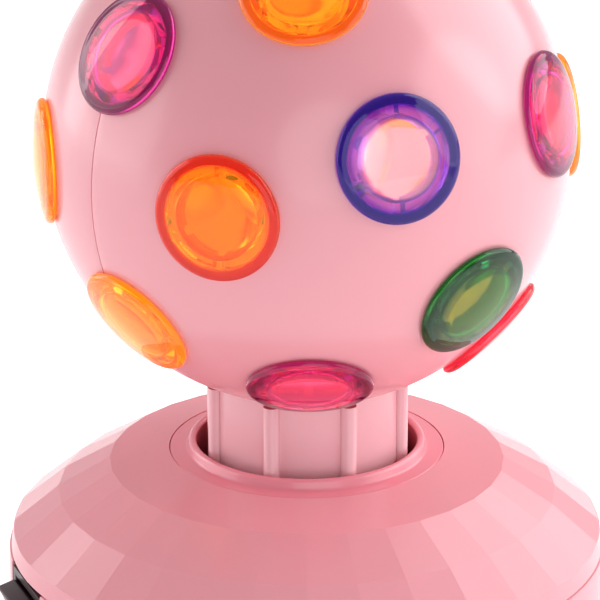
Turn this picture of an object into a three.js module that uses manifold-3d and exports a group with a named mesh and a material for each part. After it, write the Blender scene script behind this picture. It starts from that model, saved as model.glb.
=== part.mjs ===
// Rotating party lamp: a pink ball with coloured lenses turns on a ribbed drum in a round base.
// Millimetres, +Z up. The origin is on the table, on the axis that the ball turns about. The front is -Y,
// and an azimuth is measured from the front toward +X.
import * as THREE from "three";
import { mergeVertices } from "three/addons/utils/BufferGeometryUtils.js";
import Module from "manifold-3d";

const wasm = await Module();
wasm.setup();

// Clearances
const FIT = 0.3; // between parts that are seated on each other
const RUN = 0.4; // between parts that slide or turn on each other
const OVERRUN = 1; // how far a cutter passes the face that it cuts

// Sides of the round pieces that have no step count of their own
const SCREW_STEPS = 6;
const SMALL_STEPS = 8;
const MEDIUM_STEPS = 12;
const LARGE_STEPS = 16;

// Ball
const BALL_RADIUS = 70;
const BALL_WALL = 2;
const BALL_STEPS = 24;
const BALL_INNER_STEPS = 16;
const SEAM_AZIMUTH = -52;
const SPIGOT_WALL = 2.7;
const SPIGOT_LENGTH = 7;
const TAB_REACH = 4;
const TAB_ROOT = 5;
const TAB_WIDTH = 12;
const TAB_THICKNESS = 1.5;
const TAB_INSET = 3;
const TAB_LATITUDES = [2, 62];

// Lenses
const LENS_RADIUS = 16.7;
const LENS_CROWN = 2.7;
const LENS_SHOULDER_RADIUS = 14.4;
const LENS_SHOULDER_HEIGHT = 1.1;
const LENS_THICKNESS = 2;
const LENS_SKIRT_RADIUS = 13.4;
const LENS_SKIRT_WALL = 2.4;
const LENS_SKIRT_LENGTH = 6.5;
const LENS_SLOT_WIDTH = 2.6;
const LENS_STEPS = 10;
const LENS_HOLE_STEPS = 8;
const LENS_SLOT_TURNS = [31, 89];
// Each lens has a partner of its colour on the other half. Places are latitude and azimuth
const LENSES = [
  { name: "magenta_high", colour: "magenta", places: [[31.6, -51], [31.6, 129]] },
  { name: "amber_top", colour: "amber", places: [[52, -1], [52, -103]] },
  { name: "orange_side", colour: "orange", places: [[3, 99.5], [-1.5, -81.3]] },
  { name: "red_orange", colour: "red_orange", places: [[1.5, -19], [1.5, 157.3]] },
  { name: "violet", colour: "violet", places: [[14, 20], [14, -124]] },
  { name: "magenta_side", colour: "magenta", places: [[13, 69.2], [13, -173]] },
  { name: "orange_low", colour: "orange", places: [[-31.2, -48.3], [-23, -146]] },
  { name: "green_low", colour: "green", places: [[-23, 42], [-31.2, 131.7]] },
  { name: "red_low", colour: "red", places: [[-44, 76], [-44, 180]] },
  { name: "crimson_low", colour: "crimson", places: [[-47.5, 1], [-47.5, -105]] },
  { name: "green_high", colour: "green", places: [[56, 84], [56, 172]] },
];
const HALVES = ["a", "b"]; // two half shells from a pair of moulds

// Base: lower housing
const FOOT_HEIGHT = 3;
const HOUSING_RADIUS = 81;
const HOUSING_HEIGHT = 27.8;
const HOUSING_WALL = 2.4;
const HOUSING_CHAMFER = 4;
const FLOOR_THICKNESS = 2.5;
const LIP_HEIGHT = 2.8;
const LIP_DEPTH = 2.6;
const LIP_THICKNESS = 1.7;
const LIP_PLAY = 1.1;
const BASE_STEPS = 32;

// Base: faceted top cover, as rises and runs of the rings of flat facets from the rim inward
const COVER_SETBACK = 0.5; // of its wall behind the housing's wall
const COVER_RADIUS = HOUSING_RADIUS - COVER_SETBACK;
const COVER_WALL = 2.3;
const CREASE_RUN = 0.8;
const CREASE_RADIUS = COVER_RADIUS - CREASE_RUN;
const CREASE_RISE = 5.2;
const CREASE_FILLET = 1.2;
const FACET_LOW_RUN = 12.3;
const FACET_LOW_RADIUS = CREASE_RADIUS - FACET_LOW_RUN;
const FACET_LOW_RISE = 10.4;
const FACET_MIDDLE_RUN = 14;
const FACET_MIDDLE_RADIUS = FACET_LOW_RADIUS - FACET_MIDDLE_RUN;
const FACET_MIDDLE_RISE = 8.4;
const FACET_TOP_RISE = 3.4;

// Neck drum
const NECK_RADIUS = 26.6;
const NECK_WALL = 2;
const NECK_SHOWN = 22.1; // from the collar's face to the ball's mouth
const NECK_FLANGE_WIDTH = 4;
const NECK_FLANGE_RADIUS = NECK_RADIUS + NECK_FLANGE_WIDTH;
const NECK_FLANGE_THICKNESS = 2;
const NECK_FOOT_RADIUS = 35.6;
const NECK_FOOT_THICKNESS = 2.5;
const RIB_COUNT = 8;
const RIB_RADIUS = 2.2;
const RIB_DROP = 1; // of the ends of the ribs below the ball's mouth
const RIB_AZIMUTH = 24.5;

// Collar ring and its seat in the cover
const COLLAR_GAP = 3.2; // round the drum, which turns in it
const COLLAR_BORE = NECK_RADIUS + COLLAR_GAP;
const COLLAR_FACE = 7.6;
const COLLAR_RADIUS = COLLAR_BORE + COLLAR_FACE;
const COLLAR_FLANGE = 1.9;
const COLLAR_SEAT_WALL = 2.2;
const COLLAR_SEAT_MARGIN = 4;
const COLLAR_LIP_WIDTH = 1.9;
const COLLAR_LIP_HEIGHT = 2.8;
const COLLAR_LIP_ROUND = 0.6;
const COLLAR_SKIRT_WALL = 2.9;
const COLLAR_SKIRT_LENGTH = 8;
const COVER_TUBE_WALL = 2.2;

// Turntable and bearing
const SHOULDER_HEIGHT = 21.6; // of the bearing tower's shoulder above the housing's underside
const SHOULDER_WIDTH = 5;
const SHOULDER_RADIUS = NECK_RADIUS + SHOULDER_WIDTH;
const SHOULDER_THICKNESS = 3;
const TOWER_RADIUS = 18.5;
const TOWER_BORE = 13.5;
const TOWER_WEB = 4;
const TOWER_LIP_WALL = 2.4;
const TOWER_LIP_HEIGHT = 6;
const BEARING_THICKNESS = 1.2;
const BEARING_WIDTH = 5;
const GEAR_THICKNESS = 6;

// Gear pair
const TOOTH_MODULE = 2;
const GEAR_TEETH = 36;
const PINION_TEETH = 8;
const PRESSURE_ANGLE = 20;
const TOOTH_THICKNESS_SHARE = 0.42;
const ADDENDUM_SHARE = 0.85;
const DEDENDUM_SHARE = 1.2;

// Motor
const MOTOR_AZIMUTH = 90;
const MOTOR_RADIUS = 21;
const MOTOR_HEIGHT = 15;
const MOTOR_HUB_RADIUS = 5.5;
const MOTOR_HUB_HEIGHT = 1.5;
const MOTOR_EAR_SPAN = 49.5;
const MOTOR_EAR_THICKNESS = 1;
const MOTOR_EAR_RADIUS = 4;
const SHAFT_RADIUS = 3;
const SHAFT_FLAT = 0.6;
const SHAFT_STEPS = 5;

// Screws, feet and bosses
const SCREW_RADIUS = 1.5;
const SCREW_HEAD_RADIUS = 3;
const SCREW_HEAD_HEIGHT = 1.8;
const SCREW_BITE = 8;
const BOSS_RADIUS = 5;
const BOSS_HEIGHT = 3;
const COVER_POST_RADIUS = 4;
const COVER_POST_MARGIN = 13; // from the housing's wall to a post's axis
const COVER_POST_PLACE = HOUSING_RADIUS - COVER_POST_MARGIN;
const COVER_POSTS = 4;
const TOWER_SCREWS = 3;
const NECK_SCREWS = 3;
const NECK_SCREW_BITE = 4.5;
const FEET = 4;
const FOOT_RADIUS = 8;
const FOOT_MARGIN = 19; // from the housing's wall to a foot's axis
const FOOT_PLACE = HOUSING_RADIUS - FOOT_MARGIN;
const FOOT_STEM_RADIUS = 3;

// Lamp
const PIPE_RADIUS = 5;
const PIPE_WALL = 1.5;
const PIPE_TAIL = 6;
const NUT_RADIUS = 8.5;
const NUT_HEIGHT = 4;
const NUT_SIDES = 6;
const HOLDER_RADIUS = 13.5;
const HOLDER_HEIGHT = 29;
const HOLDER_BASE = 8.5;
const BULB_RADIUS = 22.5;
const BULB_LENGTH = 78;
const BULB_GLASS = 0.9;
const BULB_RINGS = 5;
const BULB_NECK_RADIUS = 8.6;
const CAP_RADIUS = 6.9;
const CAP_LENGTH = 24.2;
const CAP_FLARE = 3.5;
const CAP_TIP_RADIUS = 2.4;
const CAP_TIP_HEIGHT = 2.6;

// Switch
const SWITCH_AZIMUTH = -70;
const BEZEL_WIDTH = 24.5;
const BEZEL_HEIGHT = 21;
const BEZEL_THICKNESS = 2;
const BEZEL_INSET = 1; // of its face behind the housing's wall
const BEZEL_FACE = HOUSING_RADIUS - BEZEL_INSET;
const BEZEL_DROP = 1; // of its top edge below the housing's top edge
const BEZEL_BORDER = 2.45;
const BODY_MARGIN = 1.1;
const BODY_DEPTH = 11.5;
const POCKET_DEPTH = 6;
const PAD_MARGIN = 3.5;
const PAD_THICKNESS = 4;
const TERMINAL_WIDTH = 6.3;
const TERMINAL_THICKNESS = 0.8;
const TERMINAL_LENGTH = 8;
const TERMINAL_SPACING = 7;
const PIVOT_DEPTH = 0.5;
const ROCKER_TIP = 5;
const ROCKER_DISH = 3.4;
const ROCKER_BACK = 3.6;
const ROCKER_TILT = 8;
const ROCKER_END_SHARE = 0.94; // of half the opening, at the pivot
const ROCKER_TIP_SHARE = 0.8;
const ROCKER_BACK_SHARE = 0.42;

// Cord inlet and terminal block
const GLAND_AZIMUTH = 180;
const GLAND_HEIGHT = 11;
const GLAND_RADIUS = 5;
const GLAND_BORE = 3.2;
const GLAND_FLANGE_RADIUS = 7;
const GLAND_FLANGE = 1.6;
const BLOCK_SIZE = { width: 24, depth: 12, height: 11 };
const BLOCK_MARGIN = 33; // from the housing's wall to the block's middle
const BLOCK_PLACE = HOUSING_RADIUS - BLOCK_MARGIN;
const BLOCK_HOLE_RADIUS = 2;

// Heights above the table, from the base upward
const UNDERSIDE = FOOT_HEIGHT;
const FLOOR_TOP = UNDERSIDE + FLOOR_THICKNESS;
const PARTING = UNDERSIDE + HOUSING_HEIGHT;
const CREASE_Z = PARTING + CREASE_RISE;
const FACET_LOW_Z = CREASE_Z + FACET_LOW_RISE;
const FACET_MIDDLE_Z = FACET_LOW_Z + FACET_MIDDLE_RISE;
const COLLAR_Z = FACET_MIDDLE_Z + FACET_TOP_RISE;
const COLLAR_SEAT_Z = COLLAR_Z - COLLAR_FLANGE - FIT;
const BOSS_TOP = FLOOR_TOP + BOSS_HEIGHT;
const SCREW_SEAT = UNDERSIDE + SCREW_HEAD_HEIGHT + FIT;
const SHOULDER_TOP = UNDERSIDE + SHOULDER_HEIGHT;
const SHOULDER_UNDER = SHOULDER_TOP - SHOULDER_THICKNESS;
const BEARING_Z = SHOULDER_TOP + FIT;
const GEAR_Z = BEARING_Z + BEARING_THICKNESS + FIT;
const NECK_Z = GEAR_Z + GEAR_THICKNESS + FIT;
const NECK_FOOT_TOP = NECK_Z + NECK_FOOT_THICKNESS;
const MOUTH_Z = COLLAR_Z + NECK_SHOWN;
const RIB_TOP = MOUTH_Z - RIB_DROP;
const BALL_Z = MOUTH_Z + Math.sqrt(BALL_RADIUS ** 2 - (NECK_RADIUS + FIT) ** 2);
const BALL_INNER = BALL_RADIUS - BALL_WALL;
const SPIGOT_TOP = BALL_Z - Math.sqrt(BALL_RADIUS ** 2 - NECK_RADIUS ** 2) + SPIGOT_LENGTH;
const NECK_FLANGE_Z = SPIGOT_TOP + FIT;
const NECK_TOP = NECK_FLANGE_Z + NECK_FLANGE_THICKNESS;
const NECK_BORE = NECK_RADIUS - NECK_WALL;
const BULB_TIP = BALL_Z + BULB_RADIUS - BULB_LENGTH;
const CAP_TOP = BULB_TIP + CAP_LENGTH;
const HOLDER_TOP = CAP_TOP - CAP_FLARE - FIT;
const HOLDER_Z = HOLDER_TOP - HOLDER_HEIGHT;
const LOWER_NUT_Z = SHOULDER_TOP - TOWER_WEB - FIT - NUT_HEIGHT;
const MOTOR_Z = FLOOR_TOP + FIT;
const MOTOR_TOP = MOTOR_Z + MOTOR_HEIGHT;
const GEAR_PITCH = (TOOTH_MODULE * GEAR_TEETH) / 2;
const PINION_PITCH = (TOOTH_MODULE * PINION_TEETH) / 2;
const MOTOR_PLACE = GEAR_PITCH + PINION_PITCH;
const SWITCH_Z = PARTING - BEZEL_DROP - BEZEL_HEIGHT / 2;
const BEZEL_BACK = BEZEL_FACE - BEZEL_THICKNESS;
const PAD_FACE = BEZEL_BACK - FIT;

const degrees = THREE.MathUtils.degToRad;

// Materials
function plastic(colour, roughness = 0.35) {
  return new THREE.MeshStandardMaterial({ color: colour, roughness, metalness: 0 });
}
function metal(colour, roughness = 0.3) {
  return new THREE.MeshStandardMaterial({ color: colour, roughness, metalness: 1 });
}
function clear(colour) {
  return new THREE.MeshStandardMaterial({ color: colour, roughness: 0.08, transparent: true, opacity: 0.7 });
}
const MATERIALS = {
  pink: plastic(0xf0a6b4),
  white: plastic(0xf2efe9, 0.5),
  black: plastic(0x1c1a1c, 0.4),
  rubber: plastic(0x2a2a2a, 0.9),
  steel: metal(0xb9bcc0),
  brass: metal(0xc9a548),
  bulbGlass: clear(0xffffff),
};
const LENS_MATERIALS = {
  magenta: clear(0xc01a78),
  amber: clear(0xf0a010),
  orange: clear(0xf28a10),
  red_orange: clear(0xe8460f),
  violet: clear(0x4a1c9c),
  green: clear(0x1e9a3c),
  red: clear(0xc8101c),
  crimson: clear(0xd81550),
};

// Solids from closed geometries, and back
function solid(geometry) {
  const bare = geometry.clone();
  bare.deleteAttribute("normal");
  bare.deleteAttribute("uv");
  const merged = mergeVertices(bare);
  return new wasm.Manifold(
    new wasm.Mesh({
      numProp: 3,
      vertProperties: merged.attributes.position.array,
      triVerts: new Uint32Array(merged.index.array),
    }),
  );
}
function geometryOf(manifold) {
  const mesh = manifold.getMesh();
  const geometry = new THREE.BufferGeometry();
  geometry.setAttribute("position", new THREE.BufferAttribute(mesh.vertProperties, mesh.numProp));
  geometry.setIndex(new THREE.BufferAttribute(mesh.triVerts, 1));
  geometry.computeVertexNormals();
  return geometry;
}
function joined(...geometries) {
  return geometries.map(solid).reduce((whole, next) => whole.add(next));
}
function cut(body, ...cutters) {
  return cutters.map(solid).reduce((left, next) => left.subtract(next), body);
}

// A solid of revolution about Z. The profile of [radius, height] runs from the bottom outward, up and back.
function revolve(profile, steps) {
  const points = profile.map(([radius, height]) => new THREE.Vector2(radius, height));
  if (profile[0][0] > 0) {
    points.push(points[0].clone());
  }
  return new THREE.LatheGeometry(points, steps).rotateX(Math.PI / 2);
}
function disc(radius, bottom, top, steps = MEDIUM_STEPS) {
  return new THREE.CylinderGeometry(radius, radius, top - bottom, steps)
    .rotateX(Math.PI / 2)
    .translate(0, 0, (bottom + top) / 2);
}
// A cutter whose flats lie on the radius, so that a round piece of that radius passes
function bore(radius, bottom, top, steps = SMALL_STEPS) {
  return disc(radius / Math.cos(Math.PI / steps), bottom, top, steps);
}
// A box by its limits along x, y and z
function block([left, right], [front, back], [bottom, top]) {
  return new THREE.BoxGeometry(right - left, back - front, top - bottom).translate(
    (left + right) / 2,
    (front + back) / 2,
    (bottom + top) / 2,
  );
}
function extruded(shape, bottom, top) {
  const depth = top - bottom;
  return new THREE.ExtrudeGeometry(shape, { depth, bevelEnabled: false }).translate(0, 0, bottom);
}
// Moves a geometry out from the axis by a distance, toward an azimuth
function placed(geometry, distance, azimuth) {
  return geometry.translate(0, -distance, 0).rotateZ(degrees(azimuth));
}
function around(count, start = 0) {
  return Array.from({ length: count }, (_, index) => start + (index * 360) / count);
}
// The same outline moved inward by a wall's thickness, for a profile that runs upward and inward
function inset(profile, wall) {
  return profile.map(([radius, height], index) => {
    const [beforeRadius, beforeHeight] = profile[Math.max(index - 1, 0)];
    const [afterRadius, afterHeight] = profile[Math.min(index + 1, profile.length - 1)];
    const here = new THREE.Vector2(radius, height);
    const before = here.clone().sub(new THREE.Vector2(beforeRadius, beforeHeight)).normalize();
    const after = new THREE.Vector2(afterRadius, afterHeight).sub(here).normalize();
    const along = before.add(after).normalize();
    return [radius - along.y * wall, height + along.x * wall];
  });
}

// Screw with its head down, the head's underside seat at z = 0
function screw(length) {
  return revolve(
    [
      [0, -SCREW_HEAD_HEIGHT],
      [SCREW_HEAD_RADIUS, -SCREW_HEAD_HEIGHT],
      [SCREW_HEAD_RADIUS, 0],
      [SCREW_RADIUS, 0],
      [SCREW_RADIUS, length],
      [0, length],
    ],
    SCREW_STEPS,
  );
}
const SCREW_HOLE = SCREW_RADIUS + FIT;

// Ball half: a half shell with its lens holes, half of the spigot that holds the drum, and snap tabs.
// It is built on the right of the seam plane, where the second half is turned half round.
function lensDirection({ places }, half) {
  const [latitude, azimuth] = places[half];
  return { tilt: degrees(90 - latitude), turn: degrees(azimuth) };
}
function ballHalf(which) {
  const outer = solid(new THREE.SphereGeometry(BALL_RADIUS, BALL_STEPS, BALL_STEPS / 2).rotateX(Math.PI / 2));
  const inner = solid(
    new THREE.SphereGeometry(BALL_INNER, BALL_INNER_STEPS, BALL_INNER_STEPS / 2).rotateX(Math.PI / 2),
  );
  const spigotTop = SPIGOT_TOP - BALL_Z;
  const spigotRadius = NECK_RADIUS + FIT + SPIGOT_WALL;
  const spigot = solid(disc(spigotRadius, -BALL_RADIUS, spigotTop, BALL_STEPS)).intersect(outer);
  const seam = degrees(SEAM_AZIMUTH);
  const side = BALL_RADIUS + OVERRUN;
  const keep = block([FIT / 2, side], [-side, side], [-side, side]).rotateZ(seam);
  let half = outer.subtract(inner).add(spigot).intersect(solid(keep));
  for (const latitude of TAB_LATITUDES) {
    const reach = [BALL_INNER - TAB_INSET - TAB_THICKNESS, BALL_INNER - TAB_INSET];
    const width = [-TAB_WIDTH / 2, TAB_WIDTH / 2];
    const tongue = block([-TAB_REACH, TAB_ROOT], [-reach[1], -reach[0]], width);
    const root = block([FIT, TAB_ROOT], [-BALL_RADIUS + BALL_WALL / 2, -reach[0]], width);
    const tab = [tongue, root].map((piece) => piece.rotateX(-degrees(latitude)).rotateZ(seam));
    half = half.add(joined(...tab));
  }
  const holes = [bore(NECK_RADIUS + FIT, -side, spigotTop + OVERRUN, BALL_STEPS)];
  for (const lens of LENSES) {
    for (const copy of HALVES.keys()) {
      const { tilt, turn } = lensDirection(lens, copy);
      const hole = bore(LENS_SKIRT_RADIUS + RUN, BALL_RADIUS / 2, side, LENS_HOLE_STEPS);
      holes.push(hole.rotateX(tilt).rotateZ(turn - which * Math.PI));
    }
  }
  return geometryOf(cut(half, ...holes));
}

// Lens: shallow dome with a round rim and a slotted skirt of two wide fingers and two narrow ones.
// It is built on +Z, with the ball's surface at z = 0.
function sphereDrop(radius) {
  return BALL_RADIUS - Math.sqrt(BALL_RADIUS ** 2 - radius ** 2);
}
function lensGeometry() {
  const skirtInner = LENS_SKIRT_RADIUS - LENS_SKIRT_WALL;
  const body = solid(
    revolve(
      [
        [0, LENS_CROWN - LENS_THICKNESS],
        [skirtInner, LENS_SHOULDER_HEIGHT - LENS_THICKNESS],
        [skirtInner, -LENS_SKIRT_LENGTH],
        [LENS_SKIRT_RADIUS, -LENS_SKIRT_LENGTH],
        [LENS_SKIRT_RADIUS, FIT - sphereDrop(LENS_SKIRT_RADIUS)],
        [LENS_RADIUS, FIT - sphereDrop(LENS_RADIUS)],
        [LENS_SHOULDER_RADIUS, LENS_SHOULDER_HEIGHT],
        [0, LENS_CROWN],
      ],
      LENS_STEPS,
    ),
  );
  const slotTop = -sphereDrop(LENS_SKIRT_RADIUS) - BALL_WALL;
  const long = [-LENS_RADIUS, LENS_RADIUS];
  const narrow = [-LENS_SLOT_WIDTH / 2, LENS_SLOT_WIDTH / 2];
  const depth = [-LENS_SKIRT_LENGTH - OVERRUN, slotTop];
  const slots = LENS_SLOT_TURNS.map((turn) => block(long, narrow, depth).rotateZ(degrees(turn)));
  return geometryOf(cut(body, ...slots));
}

// Neck drum: tube with a foot on the turntable, a top flange inside the ball and half-round ribs
function neckDrum() {
  const tube = revolve(
    [
      [NECK_BORE, NECK_Z],
      [NECK_FOOT_RADIUS, NECK_Z],
      [NECK_FOOT_RADIUS, NECK_FOOT_TOP],
      [NECK_RADIUS, NECK_FOOT_TOP],
      [NECK_RADIUS, NECK_FLANGE_Z],
      [NECK_FLANGE_RADIUS, NECK_FLANGE_Z],
      [NECK_FLANGE_RADIUS, NECK_TOP],
      [NECK_BORE, NECK_TOP],
    ],
    BALL_STEPS,
  );
  const ribs = around(RIB_COUNT, RIB_AZIMUTH).map((azimuth) =>
    placed(disc(RIB_RADIUS, NECK_FOOT_TOP - OVERRUN, RIB_TOP, SMALL_STEPS), NECK_RADIUS, azimuth),
  );
  const inside = disc(NECK_BORE, NECK_Z - OVERRUN, NECK_TOP + OVERRUN, BALL_STEPS);
  return geometryOf(cut(joined(tube, ...ribs), inside, ...neckScrewHoles()));
}
function neckScrewRadius() {
  return (NECK_RADIUS + NECK_FOOT_RADIUS) / 2;
}
function neckScrewHoles() {
  const bottom = NECK_Z - FIT - NECK_SCREW_BITE;
  return around(NECK_SCREWS).map((azimuth) =>
    placed(bore(SCREW_HOLE, bottom, NECK_FOOT_TOP + OVERRUN, SCREW_STEPS), neckScrewRadius(), azimuth),
  );
}

// Gear outline with straight-sided teeth, a tooth at the front
function gearShape(teeth) {
  const pitch = (TOOTH_MODULE * teeth) / 2;
  const addendum = TOOTH_MODULE * ADDENDUM_SHARE;
  const dedendum = TOOTH_MODULE * DEDENDUM_SHARE;
  const slope = Math.tan(degrees(PRESSURE_ANGLE));
  const half = (Math.PI / teeth) * TOOTH_THICKNESS_SHARE;
  const root = [pitch - dedendum, half + (dedendum * slope) / pitch];
  const tip = [pitch + addendum, half - (addendum * slope) / pitch];
  const shape = new THREE.Shape();
  const points = around(teeth, -90).flatMap((middle) =>
    [
      [root[0], -root[1]],
      [tip[0], -tip[1]],
      [tip[0], tip[1]],
      [root[0], root[1]],
    ].map(([radius, angle]) => {
      const turn = degrees(middle) + angle;
      return new THREE.Vector2(radius * Math.cos(turn), radius * Math.sin(turn));
    }),
  );
  return shape.setFromPoints(points);
}
function turntableGear() {
  const shape = gearShape(GEAR_TEETH);
  shape.holes.push(new THREE.Path().setFromPoints(circlePoints(NECK_BORE, BALL_STEPS)));
  const gear = extruded(shape, GEAR_Z, GEAR_Z + GEAR_THICKNESS).rotateZ(degrees(MOTOR_AZIMUTH));
  return geometryOf(cut(solid(gear), ...neckScrewHoles()));
}
function circlePoints(radius, steps) {
  const centre = new THREE.Vector2();
  return around(steps).map((turn) => new THREE.Vector2(radius, 0).rotateAround(centre, degrees(turn)));
}
// Round shaft outline with one flat, at the front
function shaftPoints(radius, flat) {
  const half = Math.acos((radius - flat) / radius);
  const start = -Math.PI / 2 + half;
  const end = -Math.PI / 2 - half + 2 * Math.PI;
  return new THREE.Shape().absarc(0, 0, radius, start, end, false).getPoints(SHAFT_STEPS);
}
function drivePinion() {
  const shape = gearShape(PINION_TEETH);
  shape.holes.push(new THREE.Path().setFromPoints(shaftPoints(SHAFT_RADIUS + FIT, SHAFT_FLAT)));
  return extruded(shape, GEAR_Z, GEAR_Z + GEAR_THICKNESS);
}
function motorShaft() {
  const shape = new THREE.Shape().setFromPoints(shaftPoints(SHAFT_RADIUS, SHAFT_FLAT));
  return extruded(shape, MOTOR_TOP + MOTOR_HUB_HEIGHT + FIT, GEAR_Z + GEAR_THICKNESS + FIT);
}

// Motor: round can with a front hub and two screw ears at its top
function driveMotor() {
  const earTop = MOTOR_TOP;
  const earBottom = MOTOR_TOP - MOTOR_EAR_THICKNESS;
  const ear = MOTOR_EAR_SPAN / 2;
  const can = disc(MOTOR_RADIUS, MOTOR_Z, MOTOR_TOP, LARGE_STEPS);
  const hub = disc(MOTOR_HUB_RADIUS, MOTOR_TOP - OVERRUN, MOTOR_TOP + MOTOR_HUB_HEIGHT);
  const strap = block([-MOTOR_EAR_RADIUS, MOTOR_EAR_RADIUS], [-ear, ear], [earBottom, earTop]);
  const ends = [-ear, ear].map((place) =>
    disc(MOTOR_EAR_RADIUS, earBottom, earTop, SMALL_STEPS).translate(0, place, 0),
  );
  const holes = [-ear, ear].map((place) =>
    bore(SCREW_HOLE, earBottom - OVERRUN, earTop + OVERRUN, SCREW_STEPS).translate(0, place, 0),
  );
  return geometryOf(cut(joined(can, hub, strap, ...ends), ...holes));
}

// Bearing tower: fixed post with a shoulder for the sliding ring and a lip that centres the turntable
function bearingTower() {
  const lip = NECK_BORE - RUN;
  const tower = revolve(
    [
      [TOWER_BORE, BOSS_TOP + FIT],
      [TOWER_RADIUS, BOSS_TOP + FIT],
      [TOWER_RADIUS, SHOULDER_UNDER],
      [SHOULDER_RADIUS, SHOULDER_UNDER],
      [SHOULDER_RADIUS, SHOULDER_TOP],
      [lip, SHOULDER_TOP],
      [lip, SHOULDER_TOP + TOWER_LIP_HEIGHT],
      [lip - TOWER_LIP_WALL, SHOULDER_TOP + TOWER_LIP_HEIGHT],
      [lip - TOWER_LIP_WALL, SHOULDER_TOP],
      [PIPE_RADIUS + FIT, SHOULDER_TOP],
      [PIPE_RADIUS + FIT, SHOULDER_TOP - TOWER_WEB],
      [TOWER_BORE, SHOULDER_TOP - TOWER_WEB],
    ],
    LARGE_STEPS,
  );
  return geometryOf(cut(solid(tower), ...towerScrewHoles()));
}
function towerScrewPlace() {
  return (TOWER_BORE + TOWER_RADIUS) / 2;
}
function towerScrewHoles() {
  const top = BOSS_TOP + SCREW_BITE + FIT;
  return around(TOWER_SCREWS).map((azimuth) =>
    placed(bore(SCREW_HOLE, UNDERSIDE - OVERRUN, top, SCREW_STEPS), towerScrewPlace(), azimuth),
  );
}
function bearingRing() {
  return revolve(
    [
      [SHOULDER_RADIUS - BEARING_WIDTH, BEARING_Z],
      [SHOULDER_RADIUS, BEARING_Z],
      [SHOULDER_RADIUS, BEARING_Z + BEARING_THICKNESS],
      [SHOULDER_RADIUS - BEARING_WIDTH, BEARING_Z + BEARING_THICKNESS],
    ],
    LARGE_STEPS,
  );
}

// Top cover: three rings of flat facets over a low wall, a seat for the collar ring and an inner tube
function coverOutline() {
  const crease = new THREE.Vector2(CREASE_RADIUS, CREASE_Z);
  const below = new THREE.Vector2(COVER_RADIUS, PARTING).sub(crease).setLength(CREASE_FILLET).add(crease);
  const upward = new THREE.Vector2(FACET_LOW_RADIUS, FACET_LOW_Z).sub(crease);
  const above = upward.setLength(CREASE_FILLET).add(crease);
  return [
    [COVER_RADIUS, PARTING + FIT / 2],
    below.toArray(),
    above.toArray(),
    [FACET_LOW_RADIUS, FACET_LOW_Z],
    [FACET_MIDDLE_RADIUS, FACET_MIDDLE_Z],
    [COLLAR_RADIUS, COLLAR_Z],
  ];
}
function topCover() {
  const outline = coverOutline();
  const facets = outline.filter(([, height]) => height >= FACET_LOW_Z);
  const lining = inset([[CREASE_RADIUS, CREASE_Z], ...facets], COVER_WALL).slice(1, -1);
  const seatUnder = COLLAR_SEAT_Z - COLLAR_SEAT_WALL;
  const tube = COLLAR_BORE + COLLAR_SKIRT_WALL + FIT;
  const tubeOuter = tube + COVER_TUBE_WALL;
  const tubeEnd = NECK_FOOT_TOP + FIT + SCREW_HEAD_HEIGHT + RUN;
  const inside = [
    ...lining.reverse(),
    [CREASE_RADIUS - COVER_WALL, CREASE_Z - COVER_WALL / 2],
    [COVER_RADIUS - COVER_WALL, PARTING + FIT / 2],
  ];
  const shell = revolve(
    [
      ...outline,
      [COLLAR_RADIUS, COLLAR_SEAT_Z],
      [tube, COLLAR_SEAT_Z],
      [tube, tubeEnd],
      [tubeOuter, tubeEnd],
      [tubeOuter, seatUnder],
      [COLLAR_RADIUS + COLLAR_SEAT_MARGIN, seatUnder],
      ...inside,
    ],
    BASE_STEPS,
  );
  const full = solid(revolve([[0, PARTING + FIT / 2], ...outline, [0, COLLAR_Z]], BASE_STEPS));
  let cover = solid(shell);
  for (const azimuth of coverPosts()) {
    const upper = disc(COVER_POST_RADIUS, PARTING + FIT / 2, COLLAR_Z, SMALL_STEPS);
    const lower = disc(COVER_POST_RADIUS, BOSS_TOP + FIT, PARTING + FIT, SMALL_STEPS);
    const [root, end] = [upper, lower].map((piece) => solid(placed(piece, COVER_POST_PLACE, azimuth)));
    cover = cover.add(root.intersect(full)).add(end);
  }
  const holeTop = BOSS_TOP + SCREW_BITE + FIT;
  const holes = coverPosts().map((azimuth) =>
    placed(bore(SCREW_HOLE, UNDERSIDE, holeTop, SCREW_STEPS), COVER_POST_PLACE, azimuth),
  );
  return geometryOf(cut(cover, ...holes));
}
function coverPosts() {
  return around(COVER_POSTS, 180 / COVER_POSTS);
}

// Collar ring: flange let into the cover, rounded lip round the drum and a skirt in the cover's tube
function collarRing() {
  const lipOuter = COLLAR_BORE + COLLAR_LIP_WIDTH;
  const lipTop = COLLAR_Z + COLLAR_LIP_HEIGHT;
  const skirt = COLLAR_BORE + COLLAR_SKIRT_WALL;
  return revolve(
    [
      [COLLAR_BORE, COLLAR_SEAT_Z - COLLAR_SKIRT_LENGTH],
      [skirt, COLLAR_SEAT_Z - COLLAR_SKIRT_LENGTH],
      [skirt, COLLAR_SEAT_Z + FIT],
      [COLLAR_RADIUS - FIT, COLLAR_SEAT_Z + FIT],
      [COLLAR_RADIUS - FIT, COLLAR_Z],
      [lipOuter + COLLAR_LIP_ROUND, COLLAR_Z],
      [lipOuter, lipTop - COLLAR_LIP_ROUND],
      [lipOuter - COLLAR_LIP_ROUND, lipTop],
      [COLLAR_BORE, lipTop],
    ],
    BASE_STEPS,
  );
}

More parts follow.
